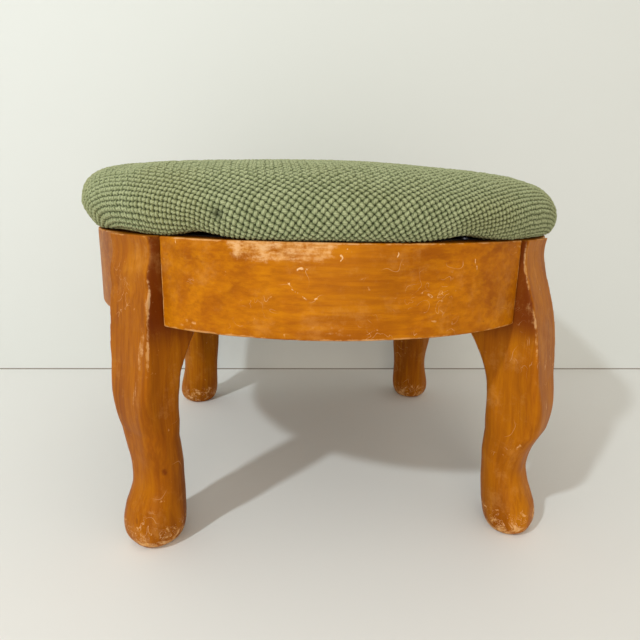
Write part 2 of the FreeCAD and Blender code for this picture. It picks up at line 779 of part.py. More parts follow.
for thing in doc.Objects:
    if "Invalid" in thing.State or "Error" in thing.State:
        raise RuntimeError(f"{thing.Name} is {thing.State}")
for body in bodies:
    if body.Shape.isNull() or not body.Shape.isValid():
        raise RuntimeError(f"{body.Label} has no valid shape")

os.makedirs("parts", exist_ok=True)
for body in bodies:
    body.Shape.exportStep(os.path.join("parts", f"{body.Label}.step"))
    box = body.Shape.BoundBox
    print(f"{body.Label}: {len(body.Shape.Solids)} solids, {body.Shape.Volume / 1000:.2f} cm3, "
          f"Z {box.ZMin:.2f} to {box.ZMax:.2f}")
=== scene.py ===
# %% [markdown]
# # A round upholstered footstool
# The wooden frame, the seat board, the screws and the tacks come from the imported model, in metres, and
# this script gives them their looks. It is written as a notebook: each step has a short note and then
# a cell of code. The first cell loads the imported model. Nothing in it is ever moved.

# %% Load the frame
import math
from contextlib import contextmanager
import bpy
import numpy as np
from mathutils import Matrix, Vector, noise
from mathutils.bvhtree import BVHTree


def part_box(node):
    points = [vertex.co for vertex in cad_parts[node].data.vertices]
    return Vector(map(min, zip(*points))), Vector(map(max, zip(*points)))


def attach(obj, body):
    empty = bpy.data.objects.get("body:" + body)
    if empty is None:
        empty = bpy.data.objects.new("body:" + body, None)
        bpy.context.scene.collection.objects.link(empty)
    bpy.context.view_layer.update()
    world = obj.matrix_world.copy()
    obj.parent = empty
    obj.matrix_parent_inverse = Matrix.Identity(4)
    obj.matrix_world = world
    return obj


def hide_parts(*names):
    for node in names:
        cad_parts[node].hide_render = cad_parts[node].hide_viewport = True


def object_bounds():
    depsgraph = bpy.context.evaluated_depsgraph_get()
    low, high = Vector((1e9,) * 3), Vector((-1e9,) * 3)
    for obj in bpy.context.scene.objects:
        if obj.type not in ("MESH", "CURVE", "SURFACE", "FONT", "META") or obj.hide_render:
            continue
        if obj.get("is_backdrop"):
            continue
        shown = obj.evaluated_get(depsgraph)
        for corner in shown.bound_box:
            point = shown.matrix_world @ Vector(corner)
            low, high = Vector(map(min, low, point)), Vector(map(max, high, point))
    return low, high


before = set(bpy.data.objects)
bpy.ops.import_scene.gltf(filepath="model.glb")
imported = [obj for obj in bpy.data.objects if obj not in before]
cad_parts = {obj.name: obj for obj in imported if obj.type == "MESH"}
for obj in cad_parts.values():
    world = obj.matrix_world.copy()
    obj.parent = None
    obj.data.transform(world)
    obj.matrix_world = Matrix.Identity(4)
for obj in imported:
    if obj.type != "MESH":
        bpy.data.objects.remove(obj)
cad_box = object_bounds()
MM = 0.001
CORNERS = ("front_left", "front_right", "rear_right", "rear_left")
SIDES = ("front", "right", "rear", "left")
print("nodes:", len(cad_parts))

# %% [markdown]
# ## Small helpers
# An operator acts on everything that is selected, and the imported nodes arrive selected. So each step
# starts by selecting one piece alone.

# %% Selecting, editing and copying
def only(piece):
    bpy.ops.object.select_all(action="DESELECT")
    piece.select_set(True)
    bpy.context.view_layer.objects.active = piece


@contextmanager
def editing(selected="SELECT"):
    """Edit mode for the active piece, with all of it selected or nothing."""
    bpy.ops.object.mode_set(mode="EDIT")
    bpy.ops.mesh.select_all(action=selected)
    yield
    bpy.ops.object.mode_set(mode="OBJECT")


def cut_away(piece, chosen):
    """Deletes these vertices."""
    only(piece)
    with editing("DESELECT"):
        bpy.ops.mesh.select_mode(type="VERT")
    piece.data.vertices.foreach_set("select", chosen)
    bpy.ops.object.mode_set(mode="EDIT")
    bpy.ops.mesh.delete(type="VERT")
    bpy.ops.object.mode_set(mode="OBJECT")


def new_piece(name):
    """Takes the object that an operator has just added, with its place moved into its mesh."""
    piece = bpy.context.object
    piece.name = name
    piece.data.name = name
    only(piece)
    bpy.ops.object.transform_apply(location=True, rotation=True, scale=True)
    return piece


def copied(mesh, name):
    piece = bpy.data.objects.new(name, mesh.copy())
    bpy.context.scene.collection.objects.link(piece)
    return piece


def copy_of_node(node, name):
    """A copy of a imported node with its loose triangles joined."""
    piece = copied(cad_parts[node].data, name)
    piece.data.name = name
    piece.data.materials.clear()
    only(piece)
    with editing():
        bpy.ops.mesh.remove_doubles(threshold=0.01 * MM)
    return piece


def apply_modifier(piece, kind, **settings):
    only(piece)
    modifier = piece.modifiers.new(kind.lower(), kind)
    for key, value in settings.items():
        setattr(modifier, key, value)
    bpy.ops.object.modifier_apply(modifier=modifier.name)


def finish(piece, material, slot, *nodes, sharp=None):
    """Gives a piece its material and smooth shading. Every piece rides on the stool's one body."""
    piece.data.materials.append(material)
    only(piece)
    if sharp is None:
        bpy.ops.object.shade_smooth()
    else:
        bpy.ops.object.shade_smooth_by_angle(angle=math.radians(sharp))
    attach(piece, "root")
    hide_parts(*nodes)


def coordinates(mesh):
    co = np.empty(len(mesh.vertices) * 3)
    mesh.vertices.foreach_get("co", co)
    return co.reshape(-1, 3)


def set_coordinates(mesh, co):
    mesh.vertices.foreach_set("co", co.ravel())
    mesh.update()


def store(mesh, name, values):
    """Keeps one number for each vertex, which a material reads by name."""
    layer = mesh.attributes.new(name, "FLOAT", "POINT")
    layer.data.foreach_set("value", np.asarray(values, dtype=np.float32))


def smoothstep(values, low, high):
    t = np.clip((values - low) / (high - low), 0, 1)
    return t * t * (3 - 2 * t)


def turned_back(co, turn):
    """How far out, to the side and up each point of a leg or an apron lies, as it faces itself."""
    a = math.radians(turn)
    out = co[:, 0] * math.cos(a) + co[:, 1] * math.sin(a)
    side = -co[:, 0] * math.sin(a) + co[:, 1] * math.cos(a)
    return out, side, co[:, 2]


def lathe(name, profile, segments, closed=False):
    """A turned form: a circle at the first radius and height, extruded ring by ring to the others.
    A radius of 0 ends the form in a point, and a closed form gets a face across its first circle."""
    (r, z), rest = profile[0], profile[1:]
    bpy.ops.object.select_all(action="DESELECT")
    bpy.ops.mesh.primitive_circle_add(vertices=segments, radius=r, location=(0, 0, z))
    piece = new_piece(name)
    with editing():
        for next_r, next_z in rest:
            bpy.ops.mesh.extrude_region_move(TRANSFORM_OT_translate={"value": (0, 0, next_z - z)})
            if next_r == 0:
                bpy.ops.mesh.merge(type="CENTER")
                break
            bpy.ops.transform.resize(value=(next_r / r, next_r / r, 1), center_override=(0, 0, 0))
            r, z = next_r, next_z
        bpy.ops.mesh.select_all(action="SELECT")
        if closed:
            bpy.ops.mesh.fill_holes(sides=0)
        bpy.ops.mesh.normals_make_consistent(inside=False)
    return piece


# %% [markdown]
# ## Shorthand for materials
# Every material is a tree of nodes, and most of its steps are the same few: a product, a blend of two
# colours, a soft step or a noise. The shorthand adds one node and hands back its output.

# %% Node helpers
class Wiring:
    """Shorthand for adding and joining the nodes of one tree."""

    def __init__(self, tree):
        self.nodes, self.links = tree.nodes, tree.links

    def add(self, kind, inputs=(), **settings):
        node = self.nodes.new(kind)
        for key, value in settings.items():
            setattr(node, key, value)
        for key, value in dict(inputs).items():
            self.feed(node.inputs[key], value)
        return node

    def feed(self, socket, value):
        if isinstance(value, bpy.types.NodeSocket):
            self.links.new(value, socket)
        else:
            socket.default_value = value

    def math(self, operation, *values, clamp=False):
        node = self.add("ShaderNodeMath", operation=operation, use_clamp=clamp)
        for socket, value in zip(node.inputs, values):
            self.feed(socket, value)
        return node.outputs[0]

    def times(self, first, second):
        return self.math("MULTIPLY", first, second)

    def plus(self, first, second):
        return self.math("ADD", first, second)

    def most(self, first, second):
        return self.math("MAXIMUM", first, second)

    def mix(self, share, first, second, blend="MIX"):
        node = self.add("ShaderNodeMix", data_type="RGBA", blend_type=blend)
        for socket, value in zip((node.inputs[0], node.inputs[6], node.inputs[7]), (share, first, second)):
            self.feed(socket, value)
        return node.outputs[2]

    def ramp(self, value, low, high):
        """0 below low, 1 above high, smooth between."""
        node = self.add("ShaderNodeMapRange", interpolation_type="SMOOTHSTEP")
        for socket, part in zip(node.inputs, (value, low, high, 0.0, 1.0)):
            self.feed(socket, part)
        return node.outputs["Result"]

    def noise(self, vector, scale, detail=3.0, rough=0.5, **more):
        inputs = {"Vector": vector, "Scale": scale, "Detail": detail, "Roughness": rough, **more}
        return self.add("ShaderNodeTexNoise", inputs).outputs["Fac"]

    def stretched(self, vector, scale, turn=(0, 0, 0)):
        node = self.add("ShaderNodeMapping", {"Vector": vector, "Scale": scale, "Rotation": turn})
        return node.outputs["Vector"]

    def place(self):
        """Where a point lies on the stool, in metres."""
        return self.add("ShaderNodeTexCoord").outputs["Object"]

    def attribute(self, name, output="Fac"):
        return self.add("ShaderNodeAttribute", attribute_name=name).outputs[output]

    def group(self, tree, **inputs):
        return self.add("ShaderNodeGroup", inputs, node_tree=tree).outputs

    def bump(self, height, strength, distance):
        inputs = {"Height": height, "Strength": strength, "Distance": distance}
        return self.add("ShaderNodeBump", inputs).outputs["Normal"]

    def shade(self, **values):
        """Sets or links sockets of the material's own shader."""
        for key, value in values.items():
            self.feed(self.nodes["Principled BSDF"].inputs[key.replace("_", " ")], value)


def new_material(name):
    material = bpy.data.materials.new(name)
    material.use_nodes = True
    return material, Wiring(material.node_tree)


def group_of(name, inputs, outputs):
    """A new shader node group. An input without a value is a vector, and the rest are numbers."""
    group = bpy.data.node_groups.new(name, "ShaderNodeTree")
    for socket, value in inputs.items():
        kind = "NodeSocketVector" if value is None else "NodeSocketFloat"
        made = group.interface.new_socket(name=socket, in_out="INPUT", socket_type=kind)
        if value is not None:
            made.default_value = value
    for socket in outputs:
        group.interface.new_socket(name=socket, in_out="OUTPUT", socket_type="NodeSocketFloat")
    w = Wiring(group)
    return group, w, w.add("NodeGroupInput").outputs, w.add("NodeGroupOutput").inputs


# %% [markdown]
# ## Floor, light and camera
# A pale floor, a pale backdrop close behind, a soft lamp high on the front left, the wide soft light of
# the room behind the camera and an even sky. The lamp stands where the stool's shadow points from in
# the photograph. Floor and backdrop can't be seen from behind, so that the stool can be looked at from
# every side. The camera's place and tilt were worked out from the ring of aprons, the feet and the
# cushion.

# %% Floor, backdrop, sky, lamp and camera
CAMERA_AT = Vector((-43.9, -391.6, 200.5)) * MM
CAMERA_YAW, CAMERA_PITCH, CAMERA_ROLL = math.radians(6.4), math.radians(13.07), math.radians(1.1)
CAMERA_LENS, CAMERA_SENSOR = 28.125, 36.0
FLOOR_SIZE, FLOOR_BELOW, BACKDROP_SIZE = 12.0, 0.05 * MM, (3.0, 2.0)
BACKDROP_AT, BACKDROP_TURN = 0.1985, math.radians(-3.0)
# Painted shade: a dark line along the foot of the backdrop, where it meets the floor.
CRACK_SHADE_TALL, CRACK_SHADE_COLOUR = 1.3 * MM, (0.22, 0.20, 0.17, 1)   # the dark line where backdrop and floor meet
FLOOR_COLOUR = (0.72, 0.73, 0.71, 1)
BACKDROP_COLOUR = (0.605, 0.635, 0.625, 1)
SKY_COLOUR, SKY_STRENGTH = (1.0, 0.92, 0.83, 1), 0.80
SKY_SHOWN = (0.75, 0.77, 0.74, 1)
LAMP_FROM = Vector((-0.70, -0.72, 0.80)).normalized()
LAMP_AWAY, LAMP_SIZE, LAMP_POWER = 1.6, 0.085, 11.4
LAMP_COLOUR = (0.90, 0.97, 1.0)
FILL_FROM = Vector((-0.10, -2.0, 0.42)).normalized()
FILL_AWAY, FILL_SIZE, FILL_POWER = 2.2, 1.0, 15.0
FILL_COLOUR = (1.0, 0.87, 0.72)
LIT = Vector((0, 0, 0.1))   # what the lamps point at


def plain_stage(piece, name, colour, crack_shaded=False):
    """A matt surface that is clear from behind, so that the stool can be seen from every side."""
    material, w = new_material(name)
    w.shade(Base_Color=colour, Roughness=0.7, Specular_IOR_Level=0.15)
    where = w.add("ShaderNodeNewGeometry").outputs
    # Painted shade along the foot of the backdrop, where it meets the floor.
    if crack_shaded:
        height = w.add("ShaderNodeSeparateXYZ", {0: where["Position"]}).outputs["Z"]
        above = w.add("ShaderNodeMapRange", {0: height, 1: 0.8 * CRACK_SHADE_TALL, 2: 1.2 * CRACK_SHADE_TALL}).outputs[0]
        w.shade(Base_Color=w.mix(above, CRACK_SHADE_COLOUR, colour))
    solid, clear = w.nodes["Principled BSDF"].outputs[0], w.add("ShaderNodeBsdfTransparent").outputs[0]
    seen = w.add("ShaderNodeMixShader", {0: where["Backfacing"], 1: solid, 2: clear}).outputs[0]
    w.feed(w.nodes["Material Output"].inputs["Surface"], seen)
    piece.data.materials.append(material)
    piece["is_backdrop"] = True


def make_stage():
    bpy.ops.object.select_all(action="DESELECT")
    bpy.ops.mesh.primitive_plane_add(size=FLOOR_SIZE, location=(0, 0, -FLOOR_BELOW))
    floor = bpy.context.object
    floor.name = "floor"
    plain_stage(floor, "pale_floor", FLOOR_COLOUR)
    bpy.ops.object.select_all(action="DESELECT")
    width, height = BACKDROP_SIZE
    behind = Matrix.Rotation(BACKDROP_TURN, 3, "Z") @ Vector((0, BACKDROP_AT, height / 2))
    bpy.ops.mesh.primitive_plane_add(size=1, location=behind, rotation=(math.pi / 2, 0, BACKDROP_TURN))
    backdrop = bpy.context.object
    backdrop.name = "backdrop"
    backdrop.scale = (width, height, 1)
    plain_stage(backdrop, "pale_backdrop", BACKDROP_COLOUR, crack_shaded=True)


def make_sky():
    """An even light, which the camera and glossy surfaces see as pale grey."""
    world = bpy.context.scene.world or bpy.data.worlds.new("sky")
    bpy.context.scene.world = world
    world.use_nodes = True
    w = Wiring(world.node_tree)
    w.nodes.clear()
    light = w.add("ShaderNodeBackground", {"Color": SKY_COLOUR, "Strength": SKY_STRENGTH}).outputs[0]
    shown = w.add("ShaderNodeBackground", {"Color": SKY_SHOWN}).outputs[0]
    path = w.add("ShaderNodeLightPath").outputs
    seen = w.most(path["Is Camera Ray"], path["Is Glossy Ray"])
    sky = w.add("ShaderNodeMixShader", {0: seen, 1: light, 2: shown}).outputs[0]
    w.add("ShaderNodeOutputWorld", {"Surface": sky})


def make_lamp(name, from_where, away, size, power, colour):
    lamp = bpy.data.objects.new(name, bpy.data.lights.new(name, "AREA"))
    lamp.data.shape = "DISK"
    lamp.data.size = size
    lamp.data.energy = power
    lamp.data.color = colour
    lamp.location = from_where * away + LIT
    lamp.rotation_euler = from_where.to_track_quat("Z", "Y").to_euler()
    bpy.context.scene.collection.objects.link(lamp)


def make_camera():
    camera = bpy.data.objects.new("camera", bpy.data.cameras.new("camera"))
    camera.data.lens, camera.data.sensor_width = CAMERA_LENS, CAMERA_SENSOR
    turn = Matrix.Rotation(-CAMERA_YAW, 4, "Z") @ Matrix.Rotation(math.pi / 2 - CAMERA_PITCH, 4, "X")
    camera.matrix_world = Matrix.Translation(CAMERA_AT) @ turn @ Matrix.Rotation(CAMERA_ROLL, 4, "Z")
    bpy.context.scene.collection.objects.link(camera)
    bpy.context.scene.camera = camera


make_stage()
make_sky()
make_lamp("lamp", LAMP_FROM, LAMP_AWAY, LAMP_SIZE, LAMP_POWER, LAMP_COLOUR)
make_lamp("room_light", FILL_FROM, FILL_AWAY, FILL_SIZE, FILL_POWER, FILL_COLOUR)
make_camera()
bpy.context.scene.view_settings.view_transform = "Standard"

# %% [markdown]
# ## The stuffed form of the seat
# The real cushion is foam and cotton under a cloth that is pulled tight and tacked under the board.
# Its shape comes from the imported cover: a long crown, a full round edge and a tight turn under the
# board. A form like that is turned ring by ring, and then a short cloth simulation with a little air
# pressure lets it swell, as stuffing does. How far a point may move is capped, because the cloth is
# held tight.

# %% The section of the seat
cover_low, cover_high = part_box("seat_cover")
SEAT_RADIUS = cover_high.x
SEAT_BOTTOM, SEAT_TOP = cover_low.z, cover_high.z
EDGE_ROUND = 20 * MM        # radius of the full edge
EDGE_MIDDLE = SEAT_BOTTOM + 13.5 * MM
LIP_ROUND = 4.5 * MM        # where the cloth turns under
TURNED_UNDER = 15 * MM      # flat stretch under the board that the aprons hide


def seat_outline(step):
    """Points (radius, height) from the top of the crown over the edge to the turned-under cloth."""
    edge_out = SEAT_RADIUS - EDGE_ROUND
    rise = SEAT_TOP - EDGE_MIDDLE
    crown = (edge_out ** 2 + rise ** 2 - EDGE_ROUND ** 2) / (2 * (rise - EDGE_ROUND))
    lean = math.asin(edge_out / (crown - EDGE_ROUND))
    under = math.asin((EDGE_MIDDLE - SEAT_BOTTOM - LIP_ROUND) / (EDGE_ROUND - LIP_ROUND))
    lip_out = edge_out + (EDGE_ROUND - LIP_ROUND) * math.cos(under)
    points = []
    for radius, centre_r, centre_z, first, last in (
        (crown, 0.0, SEAT_TOP - crown, math.pi / 2, math.pi / 2 - lean),
        (EDGE_ROUND, edge_out, EDGE_MIDDLE, math.pi / 2 - lean, -under),
        (LIP_ROUND, lip_out, SEAT_BOTTOM + LIP_ROUND, -under, -math.pi / 2),
    ):
        count = max(2, round(radius * abs(last - first) / step))
        for a in np.linspace(first, last, count, endpoint=False):
            points.append((centre_r + radius * math.cos(a), centre_z + radius * math.sin(a)))
    for r in np.linspace(lip_out, lip_out - TURNED_UNDER, max(2, round(TURNED_UNDER / step))):
        points.append((r, SEAT_BOTTOM))
    return np.array(points)


OUTLINE = seat_outline(0.5 * MM)
ALONG = np.concatenate(([0], np.cumsum(np.hypot(*np.diff(OUTLINE, axis=0).T))))
print("cloth from the middle to its edge:", round(ALONG[-1] / MM), "mm")

# %% The form, swelled by a cloth simulation
FORM_RINGS, FORM_SEGMENTS, FORM_VOXEL = 26, 72, 5 * MM
FORM_PRESSURE, FORM_FRAMES, FORM_CAP = 3.0, 12, 1.6 * MM


def make_form():
    """The stuffed shape, closed across the bottom, a little inside the finished cloth."""
    places = np.linspace(0, ALONG[-1], FORM_RINGS + 1)[1:]
    radii, heights = np.interp(places, ALONG, OUTLINE[:, 0]), np.interp(places, ALONG, OUTLINE[:, 1])
    rings = list(zip(radii, heights))[::-1]
    form = lathe("stuffed_form", rings + [(0, SEAT_TOP)], FORM_SEGMENTS, closed=True)
    apply_modifier(form, "REMESH", mode="VOXEL", voxel_size=FORM_VOXEL)
    start = coordinates(form.data)
    held = form.vertex_groups.new(name="held")
    low = [i for i, z in enumerate(start[:, 2]) if z < SEAT_BOTTOM + LIP_ROUND / 2]
    held.add(low, 1.0, "REPLACE")
    only(form)
    cloth = form.modifiers.new("fullness", "CLOTH")
    cloth.settings.quality = 4
    cloth.settings.use_pressure = True
    cloth.settings.uniform_pressure_force = FORM_PRESSURE
    cloth.settings.effector_weights.gravity = 0
    cloth.settings.vertex_group_mass = "held"
    for number in range(1, FORM_FRAMES + 1):
        bpy.context.scene.frame_set(number)
    bpy.ops.object.modifier_apply(modifier=cloth.name)
    bpy.context.scene.frame_set(1)
    moved = coordinates(form.data) - start
    far = np.linalg.norm(moved, axis=1, keepdims=True)
    moved *= np.minimum(1, FORM_CAP / np.maximum(far, 1e-9))
    set_coordinates(form.data, start + moved)
    print("the form swelled by", round(float(far.mean()) / MM, 2), "mm before the cap")
    return form


form = make_form()
apply_modifier(form, "SMOOTH", iterations=4, factor=0.5)
form_surface = BVHTree.FromObject(form, bpy.context.evaluated_depsgraph_get())

# %% [markdown]
# ## The woven cover
# The cloth is a coarse plain weave on the bias: its threads cross the front of the seat at 45 degrees,
# and every crossing shows as a round bump. The bumps are big enough to break the outline, so they are
# real relief. A flat grid with four steps to each thread is the uncut cloth. Its middle is laid on the
# crown, every point keeps its distance along the cloth, and so the threads bend over the edge as real
# ones do. Then each point is raised by the height of its thread.

# %% The grid of cloth
THREAD = 3.0 * MM           # from thread to thread
STEPS = 4                   # steps of the grid to each thread
THREAD_TURN = math.radians(45)
BUMP = 1.55 * MM            # from a gap to the top of a bump
ROLL, ROUND = 0.62, 0.38    # shares of it: the thread's rise and fall, and its own roundness
BUMP_UNEVEN = 0.30          # share by which one bump may differ from the next
THREAD_WANDER, WANDER_SIZE = 0.16, 3.2      # in threads: how far the threads stray, and over what length
STRAY_SEED = 1              # makes them stray the same way in every run
COVER_SINK = 0.75 * MM      # the gaps lie this far inside the cushion's measured size
LUMP, LUMP_SIZE = 0.7 * MM, 70 * MM
LEAN = 1.9 * MM             # the old stuffing has settled: the seat is this much higher on the left
FULLER, FULLER_LOW = 4.2 * MM, 2.0 * MM     # and stands out this much further there, and low on the right
SETTLED_AT = (-165, -150, -123, -60, 0, 53, 105, 151, 168)      # mm across the front
SETTLED_BY = (1.5, 1.5, 0.0, -1.8, -1.7, -2.0, -1.0, -0.2, 0)   # mm that the top has risen or sunk there
LOW_PART = (SEAT_BOTTOM + 2 * MM, EDGE_MIDDLE + 10 * MM)
FRONT = -math.pi / 2
# The lower edge is drawn up near the corners of the front: (degrees from the front, degrees wide, rise)
DRAWN_UP = ((-29.5, 5.5, 2.4 * MM), (21.5, 6.5, 1.9 * MM), (-52.0, 9.0, 0.5 * MM))
HANGS_BY, HEM_HANGS_OUT = 1.0 * MM, (147 * MM, 153 * MM)    # between those places it rests on the apron
HANGS_ROUND = 80            # degrees to each side of the front
HEM = (0.84, 0.90)          # shares of the way from the middle of the cloth to its edge

# A caught thread has left a pit near the lower edge, darkened with painted shade
COVER_DENT, COVER_DENT_SIZE = (-66.1 * MM, -148.9 * MM, 195.0 * MM), 2.6 * MM
COVER_DENT_DEPTH = 1.3 * MM


def settled(place):
    """How far the top has risen or sunk at these places."""
    fall = np.interp(place[:, 0] / MM, SETTLED_AT, SETTLED_BY) * MM
    return fall * smoothstep(place[:, 2], EDGE_MIDDLE + 4 * MM, EDGE_MIDDLE + 15 * MM)


def laid_on_seat(flat):
    """Carries points of the flat cloth to the seat. Returns places, outward normals and distances."""
    away = np.hypot(flat[:, 0], flat[:, 1])
    angle = np.arctan2(flat[:, 1], flat[:, 0]) + THREAD_TURN
    radius, height = np.interp(away, ALONG, OUTLINE[:, 0]), np.interp(away, ALONG, OUTLINE[:, 1])
    before = np.interp(away - MM, ALONG, OUTLINE[:, 0]), np.interp(away - MM, ALONG, OUTLINE[:, 1])
    after = np.interp(away + MM, ALONG, OUTLINE[:, 0]), np.interp(away + MM, ALONG, OUTLINE[:, 1])
    run, fall = after[0] - before[0], after[1] - before[1]
    length = np.hypot(run, fall) + 1e-12
    out, up = -fall / length, run / length
    place = np.column_stack((radius * np.cos(angle), radius * np.sin(angle), height))
    normal = np.column_stack((out * np.cos(angle), out * np.sin(angle), up))
    return place, normal, away, angle


def thread_height(flat):
    """Height of the weave, 0 in a hole and 1 on top of a thread, and a random number for each crossing.
    Threads both ways rise and fall in turn, and the higher one is seen."""
    cell = flat / THREAD
    index = np.round(cell)
    rounded = np.sqrt(np.maximum(0, 1 - (2 * (cell - index)) ** 2))
    sign = np.cos(np.pi * index)
    first = ROLL * np.cos(np.pi * cell[:, 0]) * sign[:, 1] + ROUND * rounded[:, 1]
    second = -ROLL * np.cos(np.pi * cell[:, 1]) * sign[:, 0] + ROUND * rounded[:, 0]
    seed = np.sin(index[:, 0] * 12.9898 + index[:, 1] * 78.233) * 43758.5453
    return np.maximum(first, second), seed - np.floor(seed)


def make_cover():
    reach = ALONG[-1]
    count = 2 * math.ceil(reach / THREAD * STEPS)
    size = count * THREAD / STEPS
    bpy.ops.object.select_all(action="DESELECT")
    bpy.ops.mesh.primitive_grid_add(x_subdivisions=count, y_subdivisions=count, size=size)
    cover = new_piece("woven_cover")
    flat = coordinates(cover.data)[:, :2]
    cut_away(cover, np.hypot(flat[:, 0], flat[:, 1]) > reach)

    flat = coordinates(cover.data)[:, :2]
    size = THREAD * WANDER_SIZE
    noise.seed_set(STRAY_SEED)      # without a seed, noise_vector takes its offsets from the clock
    stray = np.array([noise.noise_vector(Vector((x / size, y / size, 0)))[:2] for x, y in flat])
    place, normal, away, angle = laid_on_seat(flat + stray * THREAD * THREAD_WANDER)
    swell = np.zeros(len(flat))
    for i, (p, n) in enumerate(zip(place, normal)):
        nearest = form_surface.find_nearest(p)[0]
        swell[i] = (nearest - Vector(p)).dot(Vector(n))
    swell = spread_evenly(flat, swell)
    lumps = np.array([noise.noise(Vector(p) / LUMP_SIZE) for p in place])
    bump, chance = thread_height(flat)
    bump *= 1 - BUMP_UNEVEN * chance
    raised = swell + LUMP * lumps - COVER_SINK + BUMP * bump
    place = place + normal * raised[:, None]

    round_front = np.degrees((angle - FRONT + np.pi) % (2 * np.pi) - np.pi)
    left = -place[:, 0] / SEAT_RADIUS
    upper = smoothstep(place[:, 2], SEAT_BOTTOM, EDGE_MIDDLE)
    place[:, 2] += LEAN * left * upper
    place[:, 0] -= FULLER * smoothstep(left, 0.4, 1.0) * upper
    place[:, 0] += FULLER_LOW * smoothstep(-left, 0.5, 0.95) * (1 - smoothstep(place[:, 2], *LOW_PART))
    place[:, 2] += settled(place)
    low_part = smoothstep(away / reach, *HEM)
    hem = low_part * smoothstep(np.hypot(place[:, 0], place[:, 1]), *HEM_HANGS_OUT)
    place[:, 2] -= HANGS_BY * hem * np.exp(-(round_front / HANGS_ROUND) ** 6)
    for middle, wide, rise in DRAWN_UP:
        place[:, 2] += (rise + HANGS_BY) * low_part * np.exp(-((round_front - middle) / wide) ** 2)
    lowest = SEAT_BOTTOM - 0.2 * MM - HANGS_BY * (np.hypot(place[:, 0], place[:, 1]) > HEM_HANGS_OUT[0])
    place[:, 2] = np.maximum(place[:, 2], lowest)
    pressed = np.exp(-((place - np.array(COVER_DENT)) ** 2).sum(axis=1) / COVER_DENT_SIZE ** 2)
    place -= normal * (COVER_DENT_DEPTH * pressed)[:, None]
    set_coordinates(cover.data, place)
    # The pit's mask, for the painted shade in it.
    store(cover.data, "pit_shade", pressed)
    store(cover.data, "thread", bump)
    store(cover.data, "chance", chance)
    uv = cover.data.uv_layers.new(name="cloth")
    corner = np.empty(len(cover.data.loops), dtype=np.int32)
    cover.data.loops.foreach_get("vertex_index", corner)
    uv.data.foreach_set("uv", (flat[corner] / THREAD).ravel())
    print("woven cover:", len(cover.data.polygons), "faces")
    return cover


def spread_evenly(flat, values, passes=40):
    """Evens values over the cloth's grid, so that the form's own facets don't show."""
    step = THREAD / STEPS
    at = np.round(flat / step).astype(int)
    at -= at.min(axis=0)
    table = np.full(at.max(axis=0) + 1, np.nan)
    table[at[:, 0], at[:, 1]] = values
    known = ~np.isnan(table)
    table[~known] = 0
    weight = known.astype(float)
    for _ in range(passes):
        for axis in (0, 1):
            table = (np.roll(table, 1, axis) + table * 2 + np.roll(table, -1, axis)) / 4
            weight = (np.roll(weight, 1, axis) + weight * 2 + np.roll(weight, -1, axis)) / 4
    return (table / np.maximum(weight, 1e-6))[at[:, 0], at[:, 1]]


cover = make_cover()

# %% [markdown]
# ## The cloth's finish
# Sage green wool with a soft nap. The gaps between the bumps carry painted shade and their tops a painted
# highlight, each bump has its own tint, and fine slanted lines on every bump are the twist of the yarn,
# with painted shade in their grooves. They come from a node group that reads the cloth's own UV map,
# where one unit is one thread, so the lines follow the cloth.

# %% Yarn group and cloth material
YARN_LIGHT = (0.280, 0.320, 0.160, 1)
YARN_MAIN = (0.180, 0.215, 0.092, 1)
# The gap colour is painted shade: it darkens the gaps between the bumps, the grooves of the twist and the
# pit.
YARN_GAP_SHADE = (0.016, 0.023, 0.005, 1)
YARN_FADED = (0.205, 0.210, 0.075, 1)
# The pale colour is the yarn's fuzz, and on the tops of the bumps it is a painted highlight.
YARN_FUZZ_AND_HIGHLIGHT = (0.460, 0.500, 0.300, 1)
PLY_ALONG, PLY_ACROSS = 2.0, 1.5            # lines of twist to each thread, along it and across it


def yarn_group():
    """The weave and the twist of its yarn, from the cloth's UV map, where one unit is one thread."""
    group, w, given, gives = group_of("twisted_yarn", {"Vector": None}, ("Weave", "Twist", "Fuzz"))
    cloth = given["Vector"]
    parts = w.add("ShaderNodeSeparateXYZ", {"Vector": cloth})
    u, v = parts.outputs["X"], parts.outputs["Y"]
    heights = []
    for along, across, sign in ((u, v, ROLL), (v, u, -ROLL)):
        nearest = w.math("ROUND", across)
        off = w.times(w.math("SUBTRACT", across, nearest), 2.0)
        rounded = w.math("SQRT", w.most(w.math("SUBTRACT", 1.0, w.times(off, off)), 0.0))
        turn = w.math("COSINE", w.times(nearest, math.pi))
        wave = w.times(w.math("COSINE", w.times(along, math.pi)), turn)
        heights.append(w.math("MULTIPLY_ADD", wave, sign, w.times(rounded, ROUND)))
    first = w.math("GREATER_THAN", heights[0], heights[1])
    one_way = w.math("MULTIPLY_ADD", u, PLY_ALONG, w.times(v, PLY_ACROSS))
    other_way = w.math("MULTIPLY_ADD", v, PLY_ALONG, w.times(u, -PLY_ACROSS))
    phase = w.plus(w.times(first, w.math("SUBTRACT", one_way, other_way)), other_way)
    loose = w.noise(cloth, 1.7, detail=2.0)
    phase = w.times(w.plus(phase, loose), 2 * math.pi)
    w.feed(gives["Weave"], w.most(*heights))
    w.feed(gives["Twist"], w.math("MULTIPLY_ADD", w.math("SINE", phase), 0.5, 0.5))
    w.feed(gives["Fuzz"], w.noise(cloth, 9.0, detail=4.0, rough=0.7))
    return group


